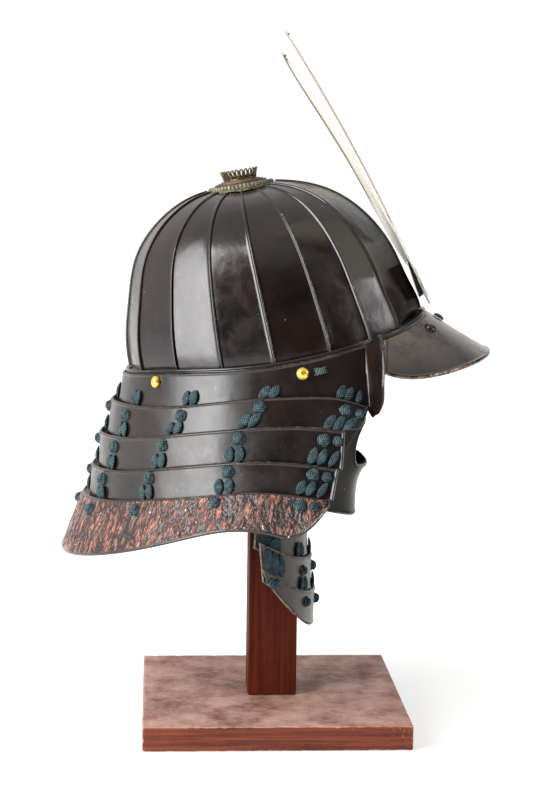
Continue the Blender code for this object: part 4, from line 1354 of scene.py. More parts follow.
# Distance from the top lame's end, then how far forward and outward the flap is there, its top and its
# bottom; the flap's first two heights are the lame's own
FLAP = ((0.0, 0.0, 0.0, 0.0, 0.0), (1.0, 1.5, 1.5, -12.5, -63.5), (2.2, 2.8, 5.0, -11.5, -63.0),
        (4.2, 5.5, 12.0, -9.0, -61.0), (6.4, 8.3, 20.0, -6.5, -56.5), (8.4, 10.8, 27.0, -6.0, -49.5),
        (10.0, 12.4, 32.0, -13.0, -39.5))


class NeckForm:
    """The faces of the five lames of the neck guard.

    Lames are numbered from 0. Place runs 0 to 1 along one, from right end to left end, and down runs
    0 to 1 from its top edge to its bottom edge.
    """

    overlap: float = 7.5
    overlap_end: float = 0.8
    overlap_place: float = 0.06
    rim_outset: float = 7.0
    rim_drop: float = 2.8

    def __init__(self) -> None:
        """Makes the curves of its tables."""
        self.tops = curves(LAME_TOPS)
        self.hem, = curves(HEM)

    def height(self, number: int, place: Array, top: bool) -> Array:
        """Returns the height of a lame's top or bottom edge at a place along it."""
        near = np.minimum(place, 1 - place)
        if top:
            return self.tops[number - 1](near)
        if number == len(LAMES) - 1:
            return self.hem(near)
        over = lerp(self.overlap_end, self.overlap, np.clip(near / self.overlap_place, -1.0, 1.0))
        return self.tops[number](near) - over

    @staticmethod
    def end_angle(number: int, top: bool) -> float:
        """Returns the angle round at which a lame's top or bottom edge starts."""
        reach, _, end_x = LAMES[number][0 if top else 1]
        return degrees(np.arccos(end_x / reach))

    def edge(self, number: int, place: Array, top: bool) -> Array:
        """Returns points of a lame's top or bottom edge."""
        reach, half, _ = LAMES[number][0 if top else 1]
        end = self.end_angle(number, top)
        angle = lerp(end, 360 - end, np.asarray(place, float))
        if top and number == 0:
            return bowl_form.rim_point(angle, self.rim_outset, -self.rim_drop)
        turn = np.radians(angle)
        return xyz(reach * np.cos(turn), -half * np.sin(turn), self.height(number, place, top))

    def point(self, number: int, place: Array, down: Array) -> Array:
        """Returns points of a lame's face."""
        top, low = self.edge(number, place, True), self.edge(number, place, False)
        return top + (low - top) * np.asarray(down, float)[..., None]

    def turn(self, number: int, place: float, down: float) -> float:
        """Returns the angle round, in radians, of a point of a lame's face."""
        x, y, _ = self.point(number, place, down)
        return float(np.arctan2(-y, x))

    def same_side(self, number: int, down: float, other: int, place: float, other_down: float) -> float:
        """Returns the place on one lame that lies straight above or below a place on another.

        Args:
            number: the lame it is looked for on.
            down: how far down that lame.
            other: the other lame.
            place: the place on the other lame.
            other_down: how far down the other lame.

        Returns:
            The place on the first lame.
        """
        target = self.turn(other, place, other_down)
        low, high = -0.02, 0.5
        for _ in range(24):
            middle = (low + high) / 2
            low, high = (middle, high) if self.turn(number, middle, down) < target else (low, middle)
        return (low + high) / 2


neck_form = NeckForm()


@dataclass
class NeckGuard:
    """The five lames of the neck guard, the top one's ends turned out as flaps, and its gilt studs."""

    thickness: float = 1.8
    roll: float = 0.5
    end_roll: float = 0.9
    flap_roll: float = 0.5
    dent: float = 0.22
    columns: int = 190
    rows: int = 10
    flap_length: float = 34.0
    flap_columns: int = 22
    bark_rows: int = 44
    bark_columns: int = 640
    bark_depth: float = 0.75
    bark_roll: float = 0.2
    furrow_tries: int = 700
    furrow_slope: float = 10.0
    furrow_sway: float = 0.8
    stud_angles: tuple = (81.0, 138.0)
    stud_downs: tuple = (0.26, 0.18)
    stud_radius: float = 4.7
    stud_height: float = 3.9
    stud_slim: float = 0.84
    stud_dent: float = 0.03
    pinhole: tuple = ((0.62, -0.1), (0.5, -0.9), (0.0, -1.0))

    def build(self, finish: Finish, bark: Finish) -> None:
        """Builds the five lames."""
        for number in range(len(LAMES) - 1):
            self.lame(number).build(f"lame_{number + 1}", HELMET, finish, f"neck_lame_{number + 1}")
        self.bark_lame().build("bark_lame", HELMET, bark, "neck_lame_5", sharp=60.0)

    def lame(self, number: int) -> Shell:
        """Returns one smooth lame."""
        down = spread(32.0, self.rows)[:, None]
        grid = neck_form.point(number, spread(520.0, self.columns), down)
        if number == 0:
            grid = self.add_flaps(grid, down)
        grid = grid + grid_normals(grid) * (self.dent * ripple(grid, 42.0, 70 + number))[..., None]
        top, _, left, right = edge_distances(grid)
        ends = np.minimum(left, right)
        end_roll = self.end_roll if number else self.flap_roll
        relief = np.maximum(self.roll * bump(top, 0.7, 0.5), end_roll * bump(ends, 1.0, 0.8))
        wear = np.clip(np.maximum(1.0 - top / 1.4, 1.0 - ends / 1.5), 0, 1)
        return Shell().add_plate(grid, self.thickness, relief, wear)

    def add_flaps(self, grid: Array, down: Array) -> Array:
        """Returns the top lame's grid with the columns of its turned-out flaps at both ends."""
        table = np.array(FLAP)
        table[0, 3:] = grid[0, 0, 2], grid[-1, 0, 2]
        steps = spread(self.flap_length, self.flap_columns, first=False)[1:] * table[-1, 0]
        forward, outward, top, low = (curve(steps) for curve in curves(table))
        flap = xyz(grid[:, :1, 0] + forward, grid[:, :1, 1] - outward, top + (low - top) * down)
        return np.concatenate((flap[:, ::-1], grid, flap * (1, -1, 1)), axis=1)

    def bark_lame(self) -> Shell:
        """Returns the lowest lame, its thick coat cut into slanting furrows."""
        grid = neck_form.point(4, spread(540.0, self.bark_columns), spread(44.0, self.bark_rows)[:, None])
        distances = edge_distances(grid)
        top, low, left, _ = distances
        along = np.broadcast_to(left.mean(axis=0) - left.mean(), left.shape)
        furrow = self.furrows(along, top)
        inside = np.clip((np.minimum.reduce(distances) - 0.5) / 0.9, 0, 1)
        relief = self.bark_roll * bump(low, 0.6, 0.6) + inside * self.bark_depth * (1 - furrow)
        wear = np.maximum(inside * furrow, 1 - inside)
        return Shell().add_plate(grid, self.thickness, relief, wear, xyz(along, top, 0.0))

    def furrows(self, along: Array, down: Array) -> Array:
        """Returns how deep the furrows are, 0 to 1, at each place on the bark-like coat.

        Args:
            along: the distance along the lame.
            down: the distance from its top edge.

        Returns:
            The depth.
        """
        picks = np.random.default_rng(5)
        depth = np.zeros_like(along)
        span = float(along.max())
        for _ in range(self.furrow_tries):
            centre, level = picks.uniform(-span, span), picks.uniform(0, 46)
            slope = self.furrow_slope if centre > 0 else -self.furrow_slope
            lean = radians(picks.normal(slope, 17.0))
            length, width = picks.uniform(4.0, 14.0), picks.uniform(0.4, 1.15)
            near = (np.abs(along[0] - centre) < length + 4).nonzero()[0]
            if not len(near):
                continue
            cut = slice(near[0], near[-1] + 1)
            x, y = along[:, cut] - centre, down[:, cut] - level
            run, off = x * sin(lean) + y * cos(lean), x * cos(lean) - y * sin(lean)
            off = off + self.furrow_sway * np.sin(run * 0.5 + centre)
            inside = np.clip(1 - (run / length) ** 2, 0, 1)
            depth[:, cut] = np.maximum(depth[:, cut], np.sqrt(inside) * bump(off, 0.0, width))
        return depth

    def build_studs(self, finish: Finish) -> None:
        """Builds the two gilt studs on each side of the top lame."""
        end = neck_form.end_angle(0, True)
        right = [(angle - end) / (360 - 2 * end) for angle in self.stud_angles]
        left = [1 - place for place in right]
        for number, (place, down) in enumerate(zip(right + left, 2 * self.stud_downs), start=1):
            stud = self.stud(place, down, number)
            stud.build(f"gilt_stud_{number}", HELMET, finish, f"gold_rivet_{number}")

    def stud(self, place: float, down: float, number: int) -> Shell:
        """Returns one hand-made stud, a little out of round and with a pinhole in its top.

        Args:
            place: where it sits along the top lame.
            down: where it sits down the lame.
            number: which stud it is.

        Returns:
            The stud.
        """
        hole = [(radius, self.stud_height + depth) for radius, depth in self.pinhole]
        rings = turned(dome_profile(self.stud_radius, self.stud_height, 14)[:-2] + hole, 48)
        rings = rings * (1.0 if number % 2 else self.stud_slim, 1, 1)
        rings = rings * (1 + self.stud_dent * ripple(rings + number * 9, 4.0, 90)[..., None])
        wear = np.full(rings.shape[:2], 0.5)
        wear[-len(hole):] = 0.0
        spot = spot_on(partial(neck_form.point, 0), place, down, 0.004)
        return Shell().add_rings(spot.put(rings), wear, rings)


# ---------------------------------------------------------------- lacing
def hidden_share(top: Array, low: Array, cover: Array, most: float) -> float:
    """Returns how far down a lame the next one's edge covers it, as a share and never over most."""
    return float(np.clip((cover[2] - top[2]) / (low[2] - top[2]), 0.3, most))


@dataclass
class CordWork:
    """Short runs of braided cord that bulge out of a plate and go back into it, one piece at a time."""

    width: float = 6.9
    height: float = 3.0
    sides: int = 20
    steps: int = 19
    side_lean: float = 0.5
    knot_size: float = 4.9
    knot_height: float = 2.48
    knot_tilt: float = 0.25
    knot_runs: tuple = ((-0.80, 0.45), (0.80, 1.0))
    picks: np.random.Generator = field(default_factory=lambda: np.random.default_rng(11))
    shell: Shell = field(default_factory=Shell)

    def build(self, name: str, layout: Frame, finish: Finish, *nodes: str, sharp: float = 60.0) -> None:
        """Builds what has been added as one piece, and starts the next one with nothing in it."""
        self.shell.build(name, layout, finish, *nodes, sharp=sharp)
        self.shell = Shell()

    def add_run(self, start: Array, end: Array, outward: Array, width: float = 0.0, lift: float = 0.0,
                arch: float = 0.7) -> None:
        """Adds one run of cord, leaf-shaped from above.

        Args:
            start: where it comes out of the plate.
            end: where it goes back in.
            outward: the direction off the plate.
            width: how wide it is at its middle, or 0 for the usual width.
            lift: how far it lies off the plate.
            arch: how much further its middle stands off.
        """
        width = width or self.width * self.picks.uniform(0.88, 1.06)
        share = (1 - np.cos(np.linspace(0, pi, self.steps)))[:, None] / 2
        rise = np.sin(pi * share)
        swell = np.sin(pi * (0.015 + 0.97 * share)) ** 0.6
        side = unit(np.cross(unit(end - start), outward))
        lean = self.picks.uniform(-self.side_lean, self.side_lean)
        path = start + (end - start) * share + outward * (lift + arch * rise) + side * lean * rise
        turn = full_turn(self.sides)
        run = share * float(np.linalg.norm(end - start))
        braid = 1 + 0.05 * np.sin(run * 2.9 + np.abs(np.cos(turn)) * width * 1.1)
        groove = 1 - 0.22 * bump(np.cos(turn), 0.0, 0.22)
        across = width / 2 * swell * braid * np.cos(turn)
        off = self.height / 2 * swell * braid * groove * np.sin(turn) + self.height * 0.3
        seed = self.picks.uniform(0, 50)
        self.shell.add_rings(path[:, None] + side * across[..., None] + outward * off[..., None], 0.0,
                             xyz(across, run + seed, off + seed))

    def add_knot(self, spot: Spot, size: float = 1.0) -> None:
        """Adds a knot: a round pad with two runs of cord crossed over it.

        Args:
            spot: where it stands.
            size: how large it is beside the usual knot.
        """
        tilt = self.picks.uniform(-self.knot_tilt, self.knot_tilt)
        reach = self.knot_size * size
        rise = np.linspace(-0.35, pi / 2, 9)[:, None]
        turn = full_turn(28)
        uneven = 1 + 0.05 * np.sin(3 * turn + tilt * 9) + 0.04 * np.sin(5 * turn + tilt * 20)
        flat, tall = reach * np.maximum(np.cos(rise), 0.01) * uneven, self.knot_height * np.sin(rise)
        pad, lay = (xyz(flat * np.cos(way), flat * np.sin(way), tall) for way in (turn, turn + 0.7))
        self.shell.add_rings(spot.put(pad), 0.0, lay)
        side, low, outward = spot.axes
        for angle, lift in self.knot_runs:
            way = (side * cos(angle + tilt) + low * sin(angle + tilt)) * reach * 0.93
            self.add_run(spot.centre - way, spot.centre + way, outward, reach * 1.12, lift, 0.9)


@dataclass(frozen=True)
class LaceColumn:
    """One column of neck lacing: where its knots sit along and down lames two to five.

    The leaf-like runs under each knot start beside it and end beside the next lame's knot, and feet and
    heads are how far along from those knots; second moves both on the second lame, by the flaps. Its
    numbers are its own and its mirror image's.
    """

    numbers: tuple[int, ...]
    knots: tuple[Pair, ...]
    size: float = 1.0
    top_slant: float = 0.0
    feet: tuple[float, ...] = (0.0005, -0.0125)
    heads: tuple[float, ...] = (0.0105, -0.0035)
    second: Pair = (0.0, 0.0)


LACE_COLUMNS = (
    LaceColumn((1, 11), ((0.0092, 0.40), (0.0085, 0.27), (0.0125, 0.28), (0.0175, 0.36)), 0.78, -0.006,
               (-0.0100,), (-0.0020,), (-0.0085, 0.004)),
    LaceColumn((2, 10), ((0.0280, 0.36), (0.0262, 0.27), (0.0290, 0.25), (0.0340, 0.25)), 0.98, -0.010,
               (0.0005, -0.0115), (0.0095, -0.0030), (-0.0100, 0.003)),
    LaceColumn((3, 9), ((0.1421, 0.22), (0.1378, 0.21), (0.1375, 0.21), (0.1375, 0.20)), 1.0, -0.012),
    LaceColumn((4, 8), ((0.2567, 0.25), (0.2550, 0.22), (0.2600, 0.22), (0.2613, 0.19)), 1.0, -0.001),
    LaceColumn((5, 7), ((0.3758, 0.25), (0.3700, 0.24), (0.3800, 0.26), (0.3758, 0.20)), 1.0, -0.001),
    LaceColumn((6,), ((0.5, 0.21), (0.5, 0.21), (0.5, 0.21), (0.5, 0.16)), 1.0, 0.0,
               (0.0068, -0.0068), (0.0045, -0.0045)),
)


@dataclass
class NeckLacing:
    """The neck guard's columns of lacing: knots near the top of each lame and leaf-like pairs below."""

    step: float = 0.004
    lift: float = 0.2
    leaf_length: float = 10.5
    slant_loss: float = 250.0
    knot_clear: float = 4.6
    tuck: float = 1.6

    def build(self, finish: Finish) -> None:
        """Builds every column, each on its own and its mirror image."""
        work = CordWork()
        for lace in LACE_COLUMNS:
            for number, mirrored in zip(lace.numbers, (False, True)):
                self.add_column(work, lace, mirrored)
                work.build(f"lace_column_{number:02d}", HELMET, finish, f"neck_lacing_{number:02d}")

    def add_column(self, work: CordWork, lace: LaceColumn, mirrored: bool) -> None:
        """Adds one column.

        Args:
            work: makes the cords.
            lace: the column's places.
            mirrored: whether it is the left half's.
        """
        for number in range(5):
            if number > 0:
                place, down = lace.knots[number - 1]
                work.add_knot(self.spot(number, place, down, mirrored), lace.size)
            if number < 4:
                for foot, head in zip(lace.feet, lace.heads):
                    self.add_leaf(work, lace, number, (foot, head), mirrored)

    @staticmethod
    def side(place: float, mirrored: bool) -> float:
        """Returns the place, or its mirror image."""
        return 1 - place if mirrored else place

    def spot(self, number: int, place: float, down: float, mirrored: bool) -> Spot:
        """Returns the spot at a place on a lame, or its mirror image."""
        surface = partial(neck_form.point, number)
        return spot_on(surface, self.side(place, mirrored), down, self.step, self.lift)

    def add_leaf(self, work: CordWork, lace: LaceColumn, number: int, offsets: Pair, mirrored: bool) -> None:
        """Adds one of the leaf-like runs at the foot of a lame.

        Args:
            work: makes the cords.
            lace: the column's places.
            number: which lame.
            offsets: how far along its foot and its head are from the knots.
            mirrored: whether it is the left half's.
        """
        surface = partial(neck_form.point, number)
        place, down = lace.knots[number]
        under = neck_form.same_side(number, 0.75, number + 1, place, down) if place < 0.5 else 0.5
        shift = lace.second if number == 1 else (0.0, 0.0)
        low_place = under + offsets[0] + shift[0]
        cover_place = place + offsets[0] if shift[0] else low_place
        top, low = surface(low_place, 0.0), surface(low_place, 1.0)
        low_down = hidden_share(top, low, neck_form.edge(number + 1, cover_place, True), 0.98)
        tall = float(np.linalg.norm(low - top))
        if number == 0:
            high_place = low_place + lace.top_slant
            high_down = low_down - (self.leaf_length - self.slant_loss * abs(lace.top_slant)) / tall
        else:
            high_place, high_down = lace.knots[number - 1]
            high_place += offsets[1] + shift[1]
            high_down = max(high_down + self.knot_clear / tall, low_down - self.leaf_length / tall)
        outward = self.spot(number, low_place, low_down, mirrored).axes[2]
        start, end = (surface(self.side(along, mirrored), level) + outward * self.lift
                      for along, level in ((high_place, high_down), (low_place, low_down + self.tuck / tall)))
        work.add_run(start, end, outward, work.width * lace.size * work.picks.uniform(0.9, 1.05))


@dataclass
class Tuft:
    """The faded green end of cord that is left beside each forward stud."""

    place: float = 0.0700
    down: float = 0.27
    strands: int = 7
    strand_width: float = 1.7
    length: float = 11.0
    height: float = 3.8

    def build(self, finish: Finish) -> None:
        """Builds the tuft on both sides."""
        picks = np.random.default_rng(23)
        work = CordWork(height=1.5, sides=8, steps=9)
        for name, place in (("right", self.place), ("left", 1 - self.place)):
            spot = spot_on(partial(neck_form.point, 0), place, self.down, 0.004, 0.2)
            side, low, outward = spot.axes
            for level in np.linspace(-0.5, 0.5, self.strands) * self.height:
                tilt = picks.uniform(-0.35, 0.35)
                reach = (side * cos(tilt) + low * sin(tilt)) * (self.length / 2 * picks.uniform(0.75, 1.05))
                middle = spot.centre + low * level
                lift = picks.uniform(0, 0.5)
                work.add_run(middle - reach, middle + reach, outward, self.strand_width, lift, 0.9)
            work.build(f"faded_tuft_{name}", HELMET, finish, sharp=40.0)


# ---------------------------------------------------------------- chin and throat guards
# From the middle to one end: depth, half width and height of the bottom edge, and then of the top edge
CHIN_TABLE = (
    (64.5, 0, 164.5, 73.5, 0, 204), (63.5, 18, 165.5, 72.0, 18, 204.5), (59.5, 34, 168, 68.0, 34, 206),
    (52, 44, 170.5, 62.5, 44, 211), (43, 50, 173, 64.5, 52, 232), (34, 54, 175, 68.5, 57, 247),
    (20, 58, 178, 52.0, 61, 253), (6, 61, 181, 28.0, 64, 256), (-8, 63, 185, 4.0, 66, 254),
)
CHIN_MIRROR = (1, -1, 1, 1, -1, 1)


@dataclass
class ChinGuard:
    """One plate round the chin, its cheeks rising and its lip turned forward."""

    thickness: float = 1.8
    lip_power: float = 4.0
    cheek_power: float = 1.3
    cheek_start: float = 1.6
    roll: float = 0.55
    dent: float = 0.18
    rows: int = 34
    columns: int = 130

    def point(self, side: Array, up: Array) -> Array:
        """Returns points of the plate: side runs -1 to 1 from left to right, up 0 to 1."""
        half = np.array(CHIN_TABLE, float)
        knots = np.arange(1 - len(half), len(half)) / (len(half) - 1)
        table = np.column_stack((knots, np.vstack((half[:0:-1] * CHIN_MIRROR, half))))
        low_x, low_half, low_z, high_x, high_half, high_z = (curve(side) for curve in curves(table))
        cheek = np.minimum(1.0, np.abs(side) * self.cheek_start) ** 3
        share = lerp(up ** self.lip_power, up ** self.cheek_power, cheek)
        return xyz(lerp(low_x, high_x, share), -lerp(low_half, high_half, up), lerp(low_z, high_z, up))

    def build(self, finish: Finish) -> None:
        """Builds the chin guard."""
        grid = self.point(2 * spread(190.0, self.columns) - 1, 1 - spread(45.0, self.rows)[:, None])
        edge = np.minimum.reduce(edge_distances(grid))
        middle = np.clip(edge / 5 - 0.4, 0, 1)
        grid = grid + grid_normals(grid) * (self.dent * ripple(grid, 30.0, 81) * middle)[..., None]
        relief, wear = self.roll * bump(edge, 1.0, 0.8), np.clip(1.05 - edge / 2.3, 0, 1)
        Shell().add_plate(grid, self.thickness, relief, wear).build("chin_plate", WORLD, finish, "chin_guard")


# For each lame's top and bottom edge: depth and height at the middle, then depth, half width and height at
# the ends
THROAT_TABLE = (
    ((27.0, 166, -12, 56, 176), (28.0, 124, -14, 60, 146)),
    ((31.0, 130, -10, 66, 151), (30.5, 97, -7, 66, 121)),
    ((34.0, 103, -7, 70, 131), (33.0, 75.5, -4, 70, 121.5)),
)
# The rear lacing's cords: lame, start and end as angle and share down, width, and how far off the lame
THROAT_CLUSTER = (
    (0, (82, 0.50), (80, 0.97), 6.0, 0.0),
    (0, (66, 0.50), (67, 0.97), 6.0, 0.0),
    (0, (80, 0.55), (68, 0.95), 6.4, 1.2),
    (0, (68, 0.55), (80, 0.95), 6.4, 2.2),
    (1, (82, 0.02), (80.5, 0.60), 6.6, 0.2),
    (1, (75, 0.04), (73.5, 0.64), 6.6, 0.6),
    (1, (68, 0.04), (66.5, 0.60), 6.6, 0.2),
)
THROAT_CLUSTER_KNOT = (80.0, 0.42)


@dataclass
class ThroatGuard:
    """The three lames that hang under the chin, and their lacing."""

    thickness: float = 1.6
    roll: float = 0.5
    columns: int = 84
    rows: int = 14
    lace_angles: tuple = (-72.0, -36.0, 0.0, 36.0, 72.0)
    cluster_from: float = 60.0
    knot_downs: tuple = (0.30, 0.34)
    leaf_angles: tuple = (-3.1, 3.1)
    leaf_splay: float = 1.3
    leaf_length: float = 12.0
    leaf_highest: float = 0.06
    tuck: float = 1.5
    step: float = 1.0
    lift: float = 0.2

    @staticmethod
    def point(number: int, angle: Array, down: Array) -> Array:
        """Returns points of a lame; down runs 0 to 1 from its top edge to its bottom edge."""
        turn = np.radians(angle)
        bow = np.cos(turn)
        top, low = (xyz(lerp(end_x, x, bow), -half * np.sin(turn), lerp(end_z, z, bow))
                    for x, z, end_x, half, end_z in THROAT_TABLE[number])
        return top + (low - top) * np.asarray(down, float)[..., None]

    def build(self, finish: Finish, cord: Finish) -> None:
        """Builds the lames and the lacing."""
        for number in range(len(THROAT_TABLE)):
            angle = lerp(-90, 90, spread(150.0, self.columns))
            grid = self.point(number, angle, spread(34.0, self.rows)[:, None])
            edge = np.minimum.reduce(edge_distances(grid))
            relief, wear = self.roll * bump(edge, 0.9, 0.7), np.clip(1.1 - edge / 2.0, 0, 1)
            Shell().add_plate(grid, self.thickness, relief, wear).build(
                f"throat_plate_{number + 1}", WORLD, finish, f"throat_lame_{number + 1}")
        work = CordWork(width=6.0, height=2.8, knot_size=4.3, picks=np.random.default_rng(31))
        for number, angle in enumerate(self.lace_angles):
            if abs(angle) > self.cluster_from:
                self.add_cluster(work, 1.0 if angle > 0 else -1.0)
            else:
                self.add_lace(work, angle)
            work.build(f"throat_lace_{number + 1}", WORLD, cord, f"throat_lacing_{number + 1}")

    def spot(self, number: int, angle: float, down: float) -> Spot:
        """Returns the spot at an angle on a lame."""
        return spot_on(partial(self.point, number), angle, down, self.step, self.lift)

    def add_lace(self, work: CordWork, angle: float) -> None:
        """Adds one column of the throat guard's lacing.

        Args:
            work: makes the cords.
            angle: where the column sits round the throat.
        """
        for number in range(3):
            if number > 0:
                work.add_knot(self.spot(number, angle, self.knot_downs[number - 1]))
            if number < 2:
                top, low = self.point(number, angle, 0.0), self.point(number, angle, 1.0)
                share = hidden_share(top, low, self.point(number + 1, angle, 0.0), 0.97)
                tall = abs(float(top[2] - low[2]))
                outward = self.spot(number, angle, share).axes[2]
                for offset in self.leaf_angles:
                    high_down = max(share - self.leaf_length / tall, self.leaf_highest)
                    high = self.point(number, angle + offset, high_down)
                    foot = self.point(number, angle + offset * self.leaf_splay, share + self.tuck / tall)
                    work.add_run(high + outward * self.lift, foot + outward * self.lift, outward)

    def add_cluster(self, work: CordWork, side: float) -> None:
        """Adds the gathered lacing at one rear end: crossed cords, long leaves below them and a knot.

        Args:
            work: makes the cords.
            side: 1 for the near end or -1 for the far one.
        """
        for number, start, end, width, off in THROAT_CLUSTER:
            outward = self.spot(number, side * start[0], start[1]).axes[2]
            high, foot = (self.point(number, side * angle, down) + outward * (self.lift + off)
                          for angle, down in (start, end))
            work.add_run(high, foot, outward, width)
        angle, down = THROAT_CLUSTER_KNOT
        work.add_knot(self.spot(2, side * angle, down))


# ---------------------------------------------------------------- stand
@dataclass
class Stand:
    """The plain wooden stand: board, post, the block under the crown and the peg behind the chin."""

    board_side: float = 203.2
    board_thickness: float = 19.05
    board_round: float = 1.3
    post_side: float = 38.1
    post_top: float = 351.7
    post_round: float = 0.9
    gap: float = 0.3
    block: tuple = ((0, 413), (12, 412.3), (24, 410), (34, 405.6), (42, 400), (48, 392.6), (52, 384),
                    (53.6, 375), (54, 366), (53, 360), (51, 355), (48, 352.8), (44, 352), (0, 352))
    block_wear: float = 0.1
    peg_height: float = 185.0
    peg_radius: float = 5.0
    peg_round: float = 0.8
    peg_end: float = 61.0
    edge_steps: tuple = (0.15, 0.4, 0.8, 1.3, 2.0, 3.0)
    edge_reach: float = 3.0

    def build(self, board_finish: Finish, post_finish: Finish) -> None:
        """Builds the stand's four pieces."""
        wide, thick, narrow = self.board_side, self.board_thickness, self.post_side
        foot = thick + self.gap
        tall = self.post_top - foot
        board = self.rounded_block((wide, wide, thick), thick / 2, self.board_round, (84, 84, 10), 0.55, 3)
        board.build("board", STAND, board_finish, "stand_board", sharp=60.0)
        post = self.rounded_block((narrow, narrow, tall), foot + tall / 2, self.post_round, (10, 10, 120),
                                  0.18, 4)
        post.build("post", STAND, post_finish, "stand_post", sharp=60.0)
        block = Shell().add_rings(turned(self.block, 64), self.block_wear)
        block.build("head_block", STAND, post_finish, "stand_head_block")
        start = narrow / 2 + self.gap
        length, radius, bevel = self.peg_end - start, self.peg_radius, self.peg_round
        profile = ((0, 0), (radius, 0), (radius, length - bevel), (radius - bevel, length), (0, length))
        peg = turned(profile, 32)
        forward = Spot(np.array((start, 0, self.peg_height)), np.array(((0, 0, -1), (0, 1, 0), (1, 0, 0))))
        Shell().add_rings(forward.put(peg), 0.0, peg).build("chin_peg", STAND, post_finish, "stand_chin_peg")

    def places(self, half: float, steps: int) -> Array:
        """Returns places across one side of a block, evenly spread and closer together at its edges."""
        near = 1 - np.array(self.edge_steps) / half
        return np.unique(np.concatenate((np.linspace(-1, 1, steps + 1), near, -near))) * half

    def rounded_block(self, size: tuple[float, float, float], middle: float, edge_round: float,
                      steps: tuple[int, int, int], chips: float, seed: int) -> Shell:
        """Returns a wooden block with soft edges that are chipped here and there.

        Args:
            size: its three sides.
            middle: how high its centre is.
            edge_round: the radius of its edges.
            steps: how many steps each side is divided into.
            chips: how deep the chips go.
            seed: which pattern of chips it has.

        Returns:
            The block.
        """
        half = np.array(size) / 2
        shell = Shell()
        for axis, sign in product(range(3), (-1, 1)):
            first, second = (axis + 1) % 3, (axis + 2) % 3
            across, along = (self.places(half[side], steps[side]) for side in (first, second))
            grid = np.zeros((len(across), len(along), 3))
            grid[..., axis] = sign * half[axis]
            grid[..., first] = across[:, None]
            grid[..., second] = along
            core = np.clip(grid, -(half - edge_round), half - edge_round)
            outward = unit(grid - core)
            reach = np.sort(half - np.abs(grid), axis=-1)[..., 1]
            edge = np.clip(1 - reach / self.edge_reach, 0, 1)
            knocks = np.clip(ripple(grid, 9.0, seed) + 0.6 * ripple(grid, 3.5, seed + 1) - 0.45, 0, 1)
            depth = edge_round - chips * edge * (0.25 + 1.4 * knocks)
            surface = core + outward * depth[..., None] + (0.0, 0.0, middle)
            shell.add_quads(shell.add_points(surface, edge, grid))
        return shell


# ---------------------------------------------------------------- studio
@dataclass(frozen=True)
class Lamp:
    """One soft light: which way it lies from the helmet, how far off, and how large and strong it is."""

    name: str
    azimuth: float
    elevation: float
    distance: float
    width: float
    height: float
    power: float


LAMPS = (
    Lamp("left_softbox", 45.5, 19.0, 1.5, 0.52, 1.55, 33.0),
    Lamp("left_screen", 62.5, 19.0, 1.5, 0.38, 1.55, 16.0),
    Lamp("right_softbox", -66.0, 21.0, 1.6, 0.30, 0.60, 4.2),
    Lamp("right_strip", -90.0, 20.0, 1.6, 0.30, 0.40, 3.4),
)


